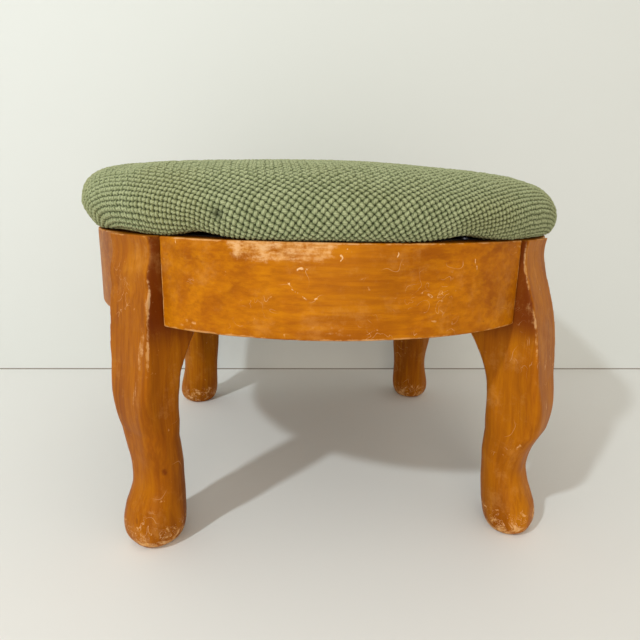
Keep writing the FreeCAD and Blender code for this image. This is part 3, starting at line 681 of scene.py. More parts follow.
def cloth_material(yarn):
    material, w = new_material("green_cloth")
    threads = w.group(yarn, Vector=w.add("ShaderNodeUVMap", uv_map="cloth").outputs["UV"])
    weave, twist = threads["Weave"], threads["Twist"]
    patches = w.noise(w.place(), 14.0, detail=2.0)
    body = w.mix(w.ramp(w.attribute("chance"), 0.0, 1.0), YARN_MAIN, YARN_LIGHT)
    body = w.mix(w.ramp(patches, 0.45, 0.75), body, YARN_FADED)
    fuzz = w.ramp(threads["Fuzz"], 0.3, 0.7)
    body = w.mix(w.times(fuzz, 0.30), body, YARN_FUZZ_AND_HIGHLIGHT)
    # Painted shade in the grooves of the twist.
    body = w.mix(w.times(w.ramp(twist, 0.55, 0.05), 0.42), body, YARN_GAP_SHADE)
    # Painted highlight: the tops of the bumps are made paler.
    body = w.mix(w.times(w.ramp(weave, 0.70, 1.0), 0.45), body, YARN_FUZZ_AND_HIGHLIGHT)
    # Painted shade: the lower the weave, the darker it gets, down to the gap colour.
    colour = w.mix(w.ramp(weave, 0.20, 0.82), YARN_GAP_SHADE, body)
    # Painted shade in the pit.
    colour = w.mix(w.times(w.attribute("pit_shade"), 0.8), colour, YARN_GAP_SHADE)
    relief = w.plus(w.times(twist, 0.35), w.times(threads["Fuzz"], 0.4))
    relief = w.bump(w.plus(relief, weave), 1.0, 0.6 * MM)
    rough = w.math("MULTIPLY_ADD", fuzz, 0.15, 0.75)
    w.shade(Base_Color=colour, Roughness=rough, Normal=relief, Specular_IOR_Level=0.25)
    return material


finish(cover, cloth_material(yarn_group()), "green_cloth", "seat_cover")

# %% [markdown]
# ## Legs and aprons
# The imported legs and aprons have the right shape, but their sharp edges and flat facets are too clean.
# A copy is remeshed finely and smoothed, which rounds the edges as years of knocks do. Small dents are
# pressed into it, and each point keeps how sharply it bulges, because the stain is worn through where
# an edge stands proud. Each point also keeps its place in the board that its piece was sawn from, so
# that the figure of the wood runs through the piece as it does in a real sawn board. The real legs were
# shaped and set by hand, and the two at the front differ a little.

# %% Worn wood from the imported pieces
WOOD_VOXEL, FRONT_VOXEL = 1.0 * MM, 0.7 * MM   # the front apron shows most
WOOD_SMOOTHING = 3
BULGE = (60, 260)           # 1/m: where an edge begins to wear, and where it wears most
DENT, DENT_SIZE = 0.16 * MM, 7 * MM
DENT_ON_FACE, DENT_ON_EDGE = 0.35, 2.2      # shares of it
WAVE, WAVE_SIZE = 0.25 * MM, 45 * MM
PIECE_APART = 0.7           # each piece comes from another stretch of board
CORNER_TURN = {"front_right": -45, "rear_right": 45, "rear_left": 135, "front_left": -135}
SIDE_TURN = {"front": -90, "right": 0, "rear": 90, "left": 180}
# Some pieces took the stain darker than others
DARKER = {"leg_front_left": 0.50, "leg_front_right": 0.35, "leg_rear_left": 0.35, "leg_rear_right": 0.45,
          "apron_left": 0.35}
FOOT_SET = {"front_left": (2.2 * MM, 1.4 * MM), "front_right": (-2.0 * MM, -5.0 * MM)}
SHOULDER_SET = {"front_left": 2.9 * MM}     # this far to the left where it stands proud of the aprons
# How far the outer and the inner edge of a leg lie outside the pattern: (height, distance) in mm
OUTER_EDGE = {
    "front_left": ((0, 0), (17, 1.7), (25, 2.0), (36, 0), (45, 0), (58, -1.3), (72, -4.0), (94, -3.5),
                   (112, -4.7), (133, -3.7), (150, -0.7), (160, 0)),
    "front_right": ((0, -0.6), (18, -0.6), (30, -1.6), (41, -1.7), (54, 0), (67, 2.7), (84, 1.7), (100, 0)),
}
INNER_EDGE = {
    "front_left": ((0, 0.8), (13, 1.1), (32, 1.4), (48, 2.5), (67, 5.3), (77, 4.3), (98, 4.5), (107, 6.2),
                   (133, 7.0), (147, 0)),
    "front_right": ((0, 3.5), (14, 2.7), (30, 1.4), (50, 1.4), (65, 2.7), (73, 2.0), (91, 1.1), (113, 1.4),
                    (135, 0.5), (146, 0)),
}
EDGE_BLEND = 10 * MM
LEG_FREE = 135 * MM         # below the aprons
SHOULDER_OUT, SHOULDER_UP = (152 * MM, 163 * MM), (152 * MM, 165 * MM)      # where it stands proud
LEG_HALF = 19 * MM          # half the thickness of a leg's board

# Marks that the photograph shows, each a line in mm with its width: patches rubbed bare and dark spots
RUBBED = {
    "apron_front": [
        ([(-56, -149, 181), (-18, -158, 181)], 15.0),
        ([(-21, -162, 142), (-4, -163, 139)], 8.0),      # in front of the face, so it is fainter
        ([(-4, -160, 135), (34, -158, 135)], 3.0),
        ([(-81, -137, 140), (-80, -138, 140)], 2.2),
        ([(-88, -133, 138), (-87, -134, 138)], 2.2),
    ],
    "leg_front_left": [
        ([(-104, -127, 162), (-105, -129, 155)], 2.2),
        ([(-106, -131, 150), (-108, -131, 143)], 4.0),
        ([(-111, -132, 130), (-115, -129, 108), (-118, -128, 92)], 5.0),
        ([(-103, -124, 178), (-103, -124, 177)], 3.0),
    ],
    "leg_front_right": [
        ([(104, -131, 147), (105, -132, 139)], 6.5),
        ([(111, -136, 109), (113, -136, 104)], 4.5),
        ([(121, -129, 89), (122, -127, 85)], 4.0),
    ],
}
SPOTTED = {
    "leg_front_left": [([(-104, -125, 50), (-103.5, -125, 48.5)], 3.0)],
    "leg_front_right": [
        ([(98, -125.5, 65.3), (98, -125.5, 64.5)], 2.2),
        ([(104, -129.3, 57), (104.5, -129, 56)], 2.8),
        ([(104, -128.2, 37), (105, -128, 33)], 4.0),
    ],
}
LEG_RUBBED = 0.6            # the legs' patches are fainter


def near_lines(co, lines):
    """1 along each line, falling to 0 at its width."""
    best = np.zeros(len(co))
    for points, width in lines:
        points = np.array(points, dtype=float) * MM
        for a, b in zip(points, points[1:]):
            share = np.clip(((co - a) @ (b - a)) / ((b - a) @ (b - a)), 0, 1)
            away = np.linalg.norm(co - a - share[:, None] * (b - a), axis=1)
            best = np.maximum(best, 1 - smoothstep(away, 0.25 * width * MM, 0.75 * width * MM))
    return best


def normals(mesh):
    normal = np.empty(len(mesh.vertices) * 3)
    mesh.vertex_normals.foreach_get("vector", normal)
    return normal.reshape(-1, 3)


def bulge(mesh, passes=3):
    """How sharply the surface turns outwards at each vertex, in 1/m, evened over its neighbours."""
    co, normal = coordinates(mesh), normals(mesh)
    edge = np.empty(len(mesh.edges) * 2, dtype=np.int64)
    mesh.edges.foreach_get("vertices", edge)
    a, b = edge.reshape(-1, 2).T
    apart = co[b] - co[a]
    squared = np.maximum((apart ** 2).sum(axis=1), 1e-12)
    count = np.bincount(a, minlength=len(co)) + np.bincount(b, minlength=len(co))
    at_a, at_b = -2 * (normal[a] * apart).sum(axis=1) / squared, 2 * (normal[b] * apart).sum(axis=1) / squared
    value = np.bincount(a, at_a, len(co)) + np.bincount(b, at_b, len(co))
    value /= np.maximum(count, 1)
    for _ in range(passes):
        value = (value + np.bincount(a, value[b], len(co)) + np.bincount(b, value[a], len(co))) / (count + 1)
    return value


def store_board(mesh, turn, number, is_leg):
    """Place in the sawn board: through its growth layers, across it, and along its grain."""
    out, side, up = turned_back(coordinates(mesh), turn)
    board = (side, out, up) if is_leg else (out, up, side)
    layer = mesh.attributes.new("board", "FLOAT_VECTOR", "POINT")
    layer.data.foreach_set("vector", (np.column_stack(board) + number * PIECE_APART).ravel())


def worn_wood(node, name, turn, number, is_leg):
    piece = copy_of_node(node, name)
    voxel = FRONT_VOXEL if node == "apron_front" else WOOD_VOXEL
    apply_modifier(piece, "REMESH", mode="VOXEL", voxel_size=voxel)
    apply_modifier(piece, "SMOOTH", iterations=WOOD_SMOOTHING, factor=0.5)
    co, normal = coordinates(piece.data), normals(piece.data)
    edge = smoothstep(bulge(piece.data), *BULGE)
    store_board(piece.data, turn, number, is_leg)
    dents = np.array([noise.noise(Vector(p) / DENT_SIZE) for p in co])
    waves = np.array([noise.noise(Vector(p) / WAVE_SIZE) for p in co])
    depth = DENT * np.minimum(dents, 0) * (DENT_ON_FACE + DENT_ON_EDGE * edge) + WAVE * np.minimum(waves, 0)
    set_coordinates(piece.data, co + normal * depth[:, None])
    store(piece.data, "arris", edge)
    store(piece.data, "rubbed", near_lines(co, RUBBED.get(node, [])) * (LEG_RUBBED if is_leg else 1))
    store(piece.data, "tone", np.full(len(co), DARKER.get(node, 0.0)))
    store(piece.data, "spotted", near_lines(co, SPOTTED.get(node, [])))
    # Where the legs meet the aprons: painted shade with stain that ran together.
    store(piece.data, "joint_stain_and_shade", stain_and_shade_at_joints(co, turn) if is_leg else np.zeros(len(co)))
    print(name, len(piece.data.polygons), "faces")
    return piece


def stain_and_shade_at_joints(co, turn):
    """Painted shade and stain that ran together, where a leg's sides meet the aprons."""
    out, side, up = turned_back(co, turn)
    near_face = smoothstep(np.abs(side), LEG_HALF - 1.2 * MM, LEG_HALF - 0.2 * MM)
    return near_face * smoothstep(up, LEG_FREE - 16 * MM, LEG_FREE + 4 * MM)


def set_by_hand(leg, corner):
    """The front legs as they stand: the feet a little out of place and one knee worn flatter."""
    co = coordinates(leg.data)
    free = 1 - smoothstep(co[:, 2], 0, LEG_FREE)
    for axis, shift in enumerate(FOOT_SET.get(corner, (0, 0))):
        co[:, axis] += shift * free
    out = turned_back(co, CORNER_TURN[corner])[0]
    level = np.clip((co[:, 2] / (3 * MM)).astype(int), 0, None)
    outmost, inmost = np.full(level.max() + 1, -1.0), np.full(level.max() + 1, 1.0)
    np.maximum.at(outmost, level, out)
    np.minimum.at(inmost, level, out)
    middle = ((outmost + inmost) / 2)[level]
    share = smoothstep(out, middle - EDGE_BLEND, middle + EDGE_BLEND)
    moved = np.zeros(len(co))
    for table, part in ((OUTER_EDGE, share), (INNER_EDGE, 1 - share)):
        heights, shifts = np.array(table.get(corner, ((0, 0), (1, 0)))).T
        moved += part * np.interp(co[:, 2] / MM, heights, shifts, right=0) * MM
    a = math.radians(CORNER_TURN[corner])
    co[:, 0] += moved * math.cos(a)
    co[:, 1] += moved * math.sin(a)
    proud = smoothstep(out, *SHOULDER_OUT) * smoothstep(co[:, 2], *SHOULDER_UP)
    co[:, 0] -= SHOULDER_SET.get(corner, 0) * proud
    set_coordinates(leg.data, co)


legs, aprons = {}, {}
for number, corner in enumerate(CORNERS):
    legs[corner] = worn_wood(f"leg_{corner}", f"leg_wood_{corner}", CORNER_TURN[corner], number, True)
    set_by_hand(legs[corner], corner)
for number, side in enumerate(SIDES, start=len(CORNERS)):
    aprons[side] = worn_wood(f"apron_{side}", f"apron_wood_{side}", SIDE_TURN[side], number, False)

# %% [markdown]
# ## The stained wood
# Pale maple under an amber stain, with a satin varnish. The stain took unevenly, so the colour drifts
# from yellow to brown, and the growth layers only show softly. It has gone pale in chips along the
# edges, it flakes on the toes, and the faces carry fine curled scratches in clusters. Those come from
# the contour lines of a noise: where the noise passes through its middle value, it draws a hair line.

# %% Board, scratch and wear groups
STAIN_DEEP = (0.205, 0.049, 0.001, 1)
STAIN_MAIN = (0.380, 0.113, 0.001, 1)
STAIN_GOLD = (0.550, 0.204, 0.001, 1)
DARKER_TINT = (0.50, 0.38, 0.30, 1)         # multiplies the stain of a dark piece
BARE_MAPLE = (0.700, 0.370, 0.110, 1)
BARE_PALE = (0.800, 0.530, 0.270, 1)
# Dark stain for the dark spots, and painted shade with stain that ran together where the legs meet the
# aprons.
DARK_STAIN_AND_SHADE = (0.105, 0.016, 0.001, 1)


def board_group():
    """Growth layers, fine fibre, uneven stain and small dark flecks of a sawn board."""
    group, w, given, gives = group_of(
        "maple_board", {"Vector": None}, ("Layers", "Fibre", "Streak", "Stain", "Fleck"))
    for name, scale, detail, rough, warp in (
        ("Layers", (210, 26, 7), 3.0, 0.45, 0.4),
        ("Fibre", (700, 500, 22), 3.0, 0.6, 0.0),
        ("Streak", (330, 260, 16), 4.0, 0.65, 0.2),
        ("Stain", (26, 26, 14), 4.0, 0.6, 0.7),
    ):
        stretched = w.stretched(given["Vector"], scale)
        w.feed(gives[name], w.noise(stretched, 1.0, detail=detail, rough=rough, Distortion=warp))
    fleck = w.noise(w.stretched(given["Vector"], (260, 260, 90)), 1.0, detail=2.0)
    w.feed(gives["Fleck"], w.ramp(fleck, 0.72, 0.80))
    return group


def contour(w, value, width):
    """1 along the line where a noise passes through its middle, 0 away from it."""
    off = w.math("ABSOLUTE", w.math("SUBTRACT", value, 0.5))
    return w.ramp(off, width, width * 0.25)


# Single scratches that the photograph shows: start, end and width in mm
SCRATCHES = (
    ((-29.5, -156, 169.4), (-24.5, -157, 170.5), 0.9),
    ((-28, -156.5, 157), (-22.5, -157, 155.2), 0.5),
    ((-22.5, -157, 155), (-17.5, -158, 156.7), 0.5),
    ((-6, -159, 180.6), (-9.5, -158.6, 174.5), 0.5),
    ((-88.5, -132, 181.5), (-88, -132.4, 175.5), 0.45),
    ((17.5, -158, 180), (22.5, -157.5, 173), 0.45),
    ((-33, -155.5, 163), (-28.5, -156.2, 158.5), 0.4),
    ((62, -146.5, 178), (64, -145.6, 168), 0.45),
    ((-125, -102, 174), (-120, -107.5, 170.7), 0.6),
    ((-120, -107.5, 170.7), (-113.8, -113.8, 169.8), 0.6),
    ((-117, -109, 182.5), (-115.4, -111.4, 177.5), 0.5),
)


def single_scratch_group():
    """1 along one scratch, which wavers, thins out at its ends and breaks up."""
    group, w, given, gives = group_of(
        "single_scratch", {"Vector": None, "Start": None, "End": None, "Width": MM}, ("Mark",))

    def vector(operation, first, second, output="Vector"):
        return w.add("ShaderNodeVectorMath", {0: first, 1: second}, operation=operation).outputs[output]

    place, start = given["Vector"], given["Start"]
    waver = w.add("ShaderNodeTexNoise", {"Vector": place, "Scale": 230.0, "Detail": 1.0}).outputs["Color"]
    waver = vector("MULTIPLY", vector("SUBTRACT", waver, (0.5, 0.5, 0.5)), (5 * MM, 5 * MM, 5 * MM))
    reach = vector("SUBTRACT", given["End"], start)
    gone = vector("SUBTRACT", vector("ADD", place, waver), start)
    share = w.math("DIVIDE", vector("DOT_PRODUCT", gone, reach, "Value"),
                   vector("DOT_PRODUCT", reach, reach, "Value"), clamp=True)
    nearest = w.add("ShaderNodeVectorMath", {0: reach, "Scale": share}, operation="SCALE").outputs["Vector"]
    off = vector("DISTANCE", gone, nearest, "Value")
    ends = w.times(w.times(share, w.math("SUBTRACT", 1.0, share)), 4.0)
    width = w.times(given["Width"], w.math("SQRT", ends))
    line = w.ramp(off, width, w.times(width, 0.35))
    broken = w.ramp(w.noise(place, 700.0, detail=2.0), 0.36, 0.52)
    w.feed(gives["Mark"], w.times(line, broken))
    return group


def scratch_group():
    """Fine curled scratches in clusters."""
    group, w, given, gives = group_of("fine_scratches", {"Vector": None}, ("Scratch",))
    place = given["Vector"]
    curled = contour(w, w.noise(place, 95.0, detail=1.5, rough=0.6, Distortion=1.2), 0.010)
    broken = w.ramp(w.noise(place, 120.0, detail=1.0), 0.50, 0.58)
    cluster = w.ramp(w.noise(place, 21.0, detail=2.0, rough=0.6), 0.55, 0.64)
    long = contour(w, w.noise(w.stretched(place, (60, 25, 60), (0.4, 0.9, 0.5)), 1.0, detail=1.0), 0.004)
    rare = w.ramp(w.noise(place, 33.0, detail=1.0), 0.60, 0.66)
    first = w.times(w.times(curled, broken), cluster)
    w.feed(gives["Scratch"], w.most(first, w.times(long, rare)))
    return group


def wear_group():
    """Where the stain is gone: in chips along the edges, in flakes on the toes, and in rubbed spots."""
    group, w, given, gives = group_of(
        "worn_stain", {"Vector": None, "Arris": 0.0, "Rubbed": 0.0, "Fibre": 0.5}, ("Worn", "Flaked"))
    place, arris, marked = given["Vector"], given["Arris"], given["Rubbed"]
    chips = w.noise(place, 260.0, detail=3.0, rough=0.7)
    runs = w.noise(place, 38.0, detail=2.0)
    along = w.plus(w.times(arris, 0.42), w.times(runs, 0.62))
    edge = w.ramp(w.plus(along, w.times(chips, 0.50)), 0.90, 1.02)
    edge = w.times(edge, w.times(w.ramp(arris, 0.10, 0.45), 0.7))
    height = w.add("ShaderNodeSeparateXYZ", {"Vector": place}).outputs["Z"]
    low = w.ramp(height, 27 * MM, 1 * MM)
    flakes = w.noise(place, 170.0, detail=2.5, rough=0.6, Distortion=0.8)
    toes = w.ramp(w.plus(w.times(low, 0.22), flakes), 0.70, 0.80)
    rims = w.times(contour(w, flakes, 0.014), w.ramp(low, 0.20, 0.7))
    rubbed = w.ramp(w.noise(place, 150.0, detail=4.0, rough=0.75), 0.66, 0.72)
    rubbed = w.times(rubbed, w.ramp(runs, 0.56, 0.66))
    scuff = w.plus(w.times(given["Fibre"], 0.55), w.times(chips, 0.75))
    known = w.plus(w.times(marked, 0.42), scuff)
    known = w.times(w.ramp(known, 0.84, 1.22), w.ramp(marked, 0.0, 0.5))
    rubbed = w.most(w.times(rubbed, 0.6), known)
    w.feed(gives["Worn"], w.most(w.most(edge, toes), rubbed))
    w.feed(gives["Flaked"], rims)
    return group


# %% Stained wood material
def wood_material(board_figure):
    material, w = new_material("stained_maple")
    place = w.place()
    board = w.group(board_figure, Vector=w.attribute("board", "Vector"))
    wear = w.group(wear_group(), Vector=place, Arris=w.attribute("arris"),
                   Rubbed=w.attribute("rubbed"), Fibre=board["Fibre"])
    scratch = w.group(scratch_group(), Vector=place)["Scratch"]
    fibre = w.ramp(board["Fibre"], 0.58, 0.36)
    stain = w.mix(w.ramp(board["Stain"], 0.20, 0.62), STAIN_DEEP, STAIN_MAIN)
    for mask, share, colour in (
        (w.ramp(board["Stain"], 0.52, 0.78), 0.80, STAIN_GOLD),
        (w.ramp(board["Layers"], 0.35, 0.62), 0.22, STAIN_GOLD),
        (fibre, 0.22, STAIN_DEEP),
        (w.ramp(board["Streak"], 0.46, 0.66), 0.30, STAIN_GOLD),
        (w.ramp(board["Streak"], 0.50, 0.34), 0.22, STAIN_DEEP),
        (board["Fleck"], 0.45, STAIN_DEEP),
    ):
        stain = w.mix(w.times(mask, share), stain, colour)
    stain = w.mix(w.attribute("tone"), stain, DARKER_TINT, blend="MULTIPLY")
    # Painted shade and stain that ran together, where the legs meet the aprons.
    stain = w.mix(w.times(w.attribute("joint_stain_and_shade"), 0.85), stain, DARK_STAIN_AND_SHADE)
    stain = w.mix(w.times(w.attribute("spotted"), 0.7), stain, DARK_STAIN_AND_SHADE)
    haze = w.ramp(w.noise(place, 52.0, detail=7.0, rough=0.78), 0.50, 0.68)
    stain = w.mix(w.times(haze, 0.13), stain, BARE_MAPLE)
    bare = w.mix(w.ramp(board["Fibre"], 0.35, 0.7), BARE_MAPLE, BARE_PALE)
    worn = w.times(wear["Worn"], 0.55)
    lines = w.most(w.times(scratch, 0.38), w.times(wear["Flaked"], 0.4))
    single_scratch = single_scratch_group()
    for start, end, width in SCRATCHES:
        mark = w.group(single_scratch, Vector=place, Start=Vector(start) * MM, End=Vector(end) * MM,
                       Width=width * MM)["Mark"]
        lines = w.most(lines, w.times(mark, 0.75))
    colour = w.mix(lines, w.mix(worn, stain, bare), BARE_PALE)
    rough = w.math("MULTIPLY_ADD", board["Stain"], 0.18, 0.34)
    rough = w.math("MULTIPLY_ADD", worn, 0.20, rough)
    relief = w.math("MULTIPLY_ADD", w.plus(worn, lines), -0.6, w.times(fibre, -0.15))
    relief = w.bump(relief, 0.4, 0.2 * MM)
    w.shade(Base_Color=colour, Roughness=rough, Normal=relief, Specular_IOR_Level=0.07)
    return material


board_figure = board_group()
stained_maple = wood_material(board_figure)
for corner, leg in legs.items():
    finish(leg, stained_maple, "stained_maple", f"leg_{corner}")
for side, apron in aprons.items():
    finish(apron, stained_maple, "stained_maple", f"apron_{side}")

# %% [markdown]
# ## The stuffing
# Under the cover lies the cotton that the cushion's form was made of. It is drawn in a little so that
# it stays under the cloth all round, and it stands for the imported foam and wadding.

# %% Cotton stuffing
STUFFING_IN = 3.4 * MM
COTTON, COTTON_SHADE = (0.82, 0.79, 0.70, 1), (0.62, 0.58, 0.48, 1)


def cotton_material():
    material, w = new_material("cotton_wadding")
    tufts = w.noise(w.place(), 160.0, detail=5.0, rough=0.7, Distortion=1.0)
    colour = w.mix(w.ramp(tufts, 0.35, 0.65), COTTON_SHADE, COTTON)
    w.shade(Base_Color=colour, Roughness=0.95, Normal=w.bump(tufts, 0.8, 1.5 * MM))
    return material


inside = coordinates(form.data) - normals(form.data) * STUFFING_IN
inside[:, 2] += settled(inside)
set_coordinates(form.data, inside)
form.name = "stuffing"
form.data.name = "stuffing"
finish(form, cotton_material(), "cotton_wadding", "seat_wadding", "seat_foam")
print("stuffing:", len(form.data.polygons), "faces")

# %% [markdown]
# ## The dust cover
# A disc of thin black cambric is tacked under the seat, and it shows when the stool is turned over. It
# is held flat at its tacks and hangs a little between them, so it is a turned sheet whose rings are
# lowered by a formula. Solidify then gives it its thickness.

# %% Dust cover
cambric_low, cambric_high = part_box("dust_cover")
CAMBRIC_RADIUS, CAMBRIC_LEVEL = cambric_high.x, (cambric_low.z + cambric_high.z) / 2
CAMBRIC_THICK = cambric_high.z - cambric_low.z
CAMBRIC_SAG, CAMBRIC_PUCKER = 1.5 * MM, 0.45 * MM
CAMBRIC_WRINKLE, WRINKLE_SIZE = 0.3 * MM, 30 * MM
CAMBRIC_RINGS = 36
DUST_TACKS, DUST_TACK_TURN = 12, math.radians(60)
TACK_HEAD, TACK_HEAD_TALL, TACK_LONG = 3.2 * MM, 0.8 * MM, 9 * MM
dust_tacks = coordinates(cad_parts["dust_cover_tacks"].data)
TACK_RING = float(np.hypot(dust_tacks[:, 0], dust_tacks[:, 1]).max()) - TACK_HEAD
CAMBRIC_BLACK, CAMBRIC_GREY = (0.012, 0.012, 0.013, 1), (0.045, 0.044, 0.042, 1)


def cambric_material():
    material, w = new_material("black_cambric")
    place = w.place()
    across = w.noise(w.stretched(place, (1600, 120, 1)), 1.0, detail=1.0)
    along = w.noise(w.stretched(place, (120, 1600, 1)), 1.0, detail=1.0)
    weave = w.most(across, along)
    dust = w.ramp(w.noise(place, 35.0, detail=5.0, rough=0.7), 0.48, 0.75)
    colour = w.mix(w.ramp(weave, 0.45, 0.75), CAMBRIC_BLACK, CAMBRIC_GREY)
    colour = w.mix(w.times(dust, 0.5), colour, CAMBRIC_GREY)
    rough = w.math("MULTIPLY_ADD", dust, 0.2, 0.6)
    w.shade(Base_Color=colour, Roughness=rough, Normal=w.bump(weave, 0.5, 0.1 * MM))
    return material


def make_dust_cover():
    radii = [CAMBRIC_RADIUS * (1 - i / CAMBRIC_RINGS) for i in range(CAMBRIC_RINGS)] + [0]
    cloth = lathe("dust_cover_cloth", [(radius, CAMBRIC_LEVEL) for radius in radii], 4 * CAMBRIC_RINGS)
    co = coordinates(cloth.data)
    out = np.hypot(co[:, 0], co[:, 1])
    turn = np.arctan2(co[:, 1], co[:, 0]) - DUST_TACK_TURN
    inside = np.clip(1 - (out / TACK_RING) ** 2, 0, 1)
    between = (1 - np.cos(DUST_TACKS * turn)) / 2 * (out / TACK_RING) ** 5 * (out < TACK_RING * 1.05)
    wrinkle = np.array([noise.noise(Vector(p) / WRINKLE_SIZE) for p in co]) * inside
    co[:, 2] -= CAMBRIC_SAG * inside + CAMBRIC_PUCKER * between + CAMBRIC_WRINKLE * wrinkle
    set_coordinates(cloth.data, co)
    apply_modifier(cloth, "SOLIDIFY", thickness=CAMBRIC_THICK, offset=0)
    return cloth


dust_cover = make_dust_cover()
finish(dust_cover, cambric_material(), "black_cambric", "dust_cover")

# %% [markdown]
# ## Tacks and screws
# Blued tacks with domed heads hold the dust cover, and slotted pan-head screws hold the blocks. One of
# each is turned from a profile, the screw's slot is cut with a boolean, and copies go to their places
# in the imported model.

# %% Metal finishes
def metal_material(name, bright, dull, metallic, rough):
    """Worn metal: bright where it is rubbed and dull where it has tarnished."""
    material, w = new_material(name)
    place = w.place()
    tarnish = w.noise(place, 420.0, detail=4.0, rough=0.65)
    grain = w.noise(w.stretched(place, (2500, 2500, 300)), 1.0, detail=2.0)
    colour = w.mix(w.ramp(tarnish, 0.38, 0.62), bright, dull)
    rough = w.math("MULTIPLY_ADD", tarnish, 0.35, rough)
    w.shade(Base_Color=colour, Roughness=rough, Normal=w.bump(grain, 0.25, 0.05 * MM), Metallic=metallic)
    return material


blued = metal_material("blued_tack", (0.10, 0.11, 0.14, 1), (0.035, 0.032, 0.036, 1), 0.9, 0.22)
zinc = metal_material("zinc_screw", (0.55, 0.54, 0.50, 1), (0.30, 0.27, 0.22, 1), 1.0, 0.25)


# %% Tacks of the dust cover
def placed_copy(model, name, matrix):
    piece = copied(model.data, name)
    piece.data.transform(matrix)
    return piece


def join(pieces, name):
    bpy.ops.object.select_all(action="DESELECT")
    for piece in pieces:
        piece.select_set(True)
    bpy.context.view_layer.objects.active = pieces[0]
    bpy.ops.object.join()
    joined = bpy.context.object
    joined.name = name
    joined.data.name = name
    return joined


def make_tack():
    """A tack with its head's flat face at height 0 and its dome below."""
    dome = [(0.9, 0), (3.0, 0), (3.2, -0.15), (3.1, -0.32), (2.5, -0.55), (1.4, -0.74), (0, -0.8)]
    tack = lathe("tack", [(r * MM, z * MM) for r, z in dome], 20, closed=True)
    with editing("DESELECT"):
        bpy.ops.mesh.primitive_cone_add(vertices=4, radius1=1.0 * MM, radius2=0.1 * MM, depth=TACK_LONG,
                                        location=(0, 0, TACK_LONG / 2))
    return tack


tack = make_tack()
tack_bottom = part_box("dust_cover_tacks")[0].z
copies = []
for number in range(DUST_TACKS):
    turn = Matrix.Rotation(DUST_TACK_TURN + 2 * math.pi * number / DUST_TACKS, 4, "Z")
    lean = Matrix.Rotation(math.radians(2.0) * math.sin(number * 2.4), 4, "Y")
    level = Matrix.Translation((TACK_RING, 0, tack_bottom + TACK_HEAD_TALL))
    copies.append(placed_copy(tack, f"tack_{number}", turn @ level @ lean))
finish(join(copies, "dust_cover_tack_heads"), blued, "blued_tack", "dust_cover_tacks", sharp=40)
bpy.data.objects.remove(tack)

# %% Slotted screws
SCREW_HEAD, SCREW_HEAD_TALL, SCREW_RADIUS, SCREW_POINT = 4.0 * MM, 2.4 * MM, 2.1 * MM, 4.0 * MM
SLOT_WIDE, SLOT_DEEP = 1.0 * MM, 1.1 * MM


def make_screw(length):
    """A pan-head screw that stands on its head: the face with the slot is at height 0."""
    pan = ((0.3, 0), (0.66, 0), (0.86, 0.12), (0.98, 0.45), (1, 0.72), (0.97, 1))
    head = [(SCREW_HEAD * out, SCREW_HEAD_TALL * up) for out, up in pan] + [(SCREW_RADIUS, SCREW_HEAD_TALL)]
    shank = [(SCREW_RADIUS, length - SCREW_POINT), (0, length)]
    screw = lathe("screw", head + shank, 28, closed=True)
    bpy.ops.object.select_all(action="DESELECT")
    bpy.ops.mesh.primitive_cube_add(size=1, scale=(2.4 * SCREW_HEAD, SLOT_WIDE, 2 * SLOT_DEEP))
    slot_cutter = new_piece("slot_cutter")
    apply_modifier(screw, "BOOLEAN", object=slot_cutter, operation="DIFFERENCE", solver="EXACT")
    bpy.data.objects.remove(slot_cutter)
    return screw


def box_turned_back(node, turn):
    """Low and high corners of a node with its corner of the stool turned to face along X."""
    points = np.column_stack(turned_back(coordinates(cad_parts[node].data), turn))
    return points.min(axis=0), points.max(axis=0)


for number, corner in enumerate(CORNERS):
    turn = CORNER_TURN[corner]
    corner_turn = Matrix.Rotation(math.radians(turn), 4, "Z")
    low, high = box_turned_back(f"seat_screw_{corner}", turn)
    screw = make_screw(high[2] - low[2])
    at = Matrix.Translation(((low[0] + high[0]) / 2, 0, low[2]))
    slot_turn = Matrix.Rotation(0.9 * number + 0.3, 4, "Z")
    seat_screw = placed_copy(screw, f"seat_screw_slotted_{corner}", corner_turn @ at @ slot_turn)
    bpy.data.objects.remove(screw)

    low, high = box_turned_back(f"block_screws_{corner}", turn)
    screw = make_screw(high[0] - low[0])
    lying = Matrix.Rotation(math.pi / 2, 4, "Y")
    pair = []
    for side in (-1, 1):
        at = Matrix.Translation((low[0], side * (high[1] - SCREW_HEAD), (low[2] + high[2]) / 2))
        slot_turn = Matrix.Rotation(1.7 * number + side, 4, "Z")
        pair.append(placed_copy(screw, f"block_screw_{side}", corner_turn @ at @ lying @ slot_turn))
    bpy.data.objects.remove(screw)
    block_screws = join(pair, f"block_screws_slotted_{corner}")
    finish(seat_screw, zinc, "zinc_screw", f"seat_screw_{corner}", sharp=35)
    finish(block_screws, zinc, "zinc_screw", f"block_screws_{corner}", sharp=35)
print("screws: 4 up into the seat, 8 into the legs")

# %% [markdown]
# ## Blocks, dowels and board
# The corner blocks are unfinished softwood straight from the saw. A copy of each packed block gets a
# small bevel and the marks of its growth rings. The dowels, the plywood board and the hidden tacks keep
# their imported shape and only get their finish.

# %% Corner blocks
FIRST_BLOCK = 20            # the blocks' boards are counted from here, and the legs' and aprons' from 0
PINE, PINE_LATE, PINE_OLD = (0.640, 0.420, 0.210, 1), (0.460, 0.240, 0.090, 1), (0.400, 0.260, 0.130, 1)


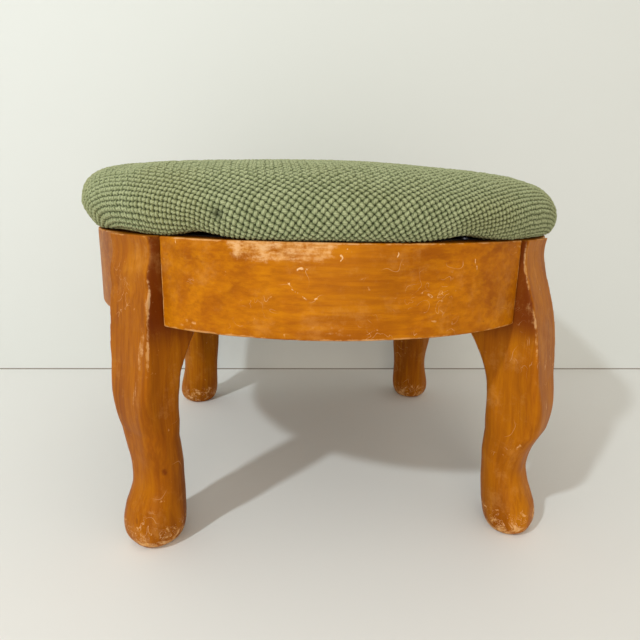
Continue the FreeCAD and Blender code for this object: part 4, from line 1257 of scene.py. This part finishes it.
def pine_material(board_figure):
    material, w = new_material("bare_softwood")
    from_board = w.attribute("board", "Vector")
    grown = w.group(board_figure, Vector=from_board)
    saw = w.noise(w.stretched(from_board, (60, 60, 900)), 1.0, detail=1.0)
    colour = w.mix(w.ramp(grown["Layers"], 0.40, 0.62), PINE, PINE_LATE)
    colour = w.mix(w.times(w.ramp(grown["Stain"], 0.45, 0.75), 0.6), colour, PINE_OLD)
    rough = w.math("MULTIPLY_ADD", grown["Fibre"], 0.2, 0.68)
    relief = w.bump(w.plus(w.times(saw, 0.6), grown["Fibre"]), 0.6, 0.3 * MM)
    w.shade(Base_Color=colour, Roughness=rough, Normal=relief)
    return material


pine = pine_material(board_figure)
for number, corner in enumerate(CORNERS, start=FIRST_BLOCK):
    block = copy_of_node(f"corner_block_{corner}", f"corner_block_sawn_{corner}")
    apply_modifier(block, "BEVEL", width=0.7 * MM, segments=2, limit_method="ANGLE")
    store_board(block.data, CORNER_TURN[corner], number, False)
    finish(block, pine, "bare_softwood", f"corner_block_{corner}", sharp=40)

# %% Dowels, seat board and hidden tacks
def plain_wood_material(name, light, dark, scale):
    """Unstained wood whose grain runs along the piece's own long scale."""
    material, w = new_material(name)
    figure = w.noise(w.stretched(w.place(), scale), 1.0, detail=4.0, rough=0.6)
    colour = w.mix(w.ramp(figure, 0.35, 0.65), light, dark)
    rough = w.math("MULTIPLY_ADD", figure, 0.2, 0.55)
    w.shade(Base_Color=colour, Roughness=rough, Normal=w.bump(figure, 0.4, 0.2 * MM))
    return material


def give_finish(node, material):
    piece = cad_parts[node]
    if not piece.material_slots:
        piece.data.materials.append(material)
    for place in piece.material_slots:
        place.material = material


birch = plain_wood_material("birch_dowel", (0.74, 0.58, 0.36, 1), (0.60, 0.42, 0.22, 1), (90, 90, 320))
plywood = plain_wood_material("plywood", (0.66, 0.48, 0.27, 1), (0.42, 0.26, 0.12, 1), (25, 160, 1400))
for corner in CORNERS:
    give_finish(f"dowels_{corner}", birch)
give_finish("seat_board", plywood)
give_finish("cover_tacks", blued)

# %% Finish
low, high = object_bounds()
for name, ours, theirs in zip(("low", "high"), (low, high), cad_box):
    print(name, [round((a - b) / MM, 1) for a, b in zip(ours, theirs)], "mm from the packed box")
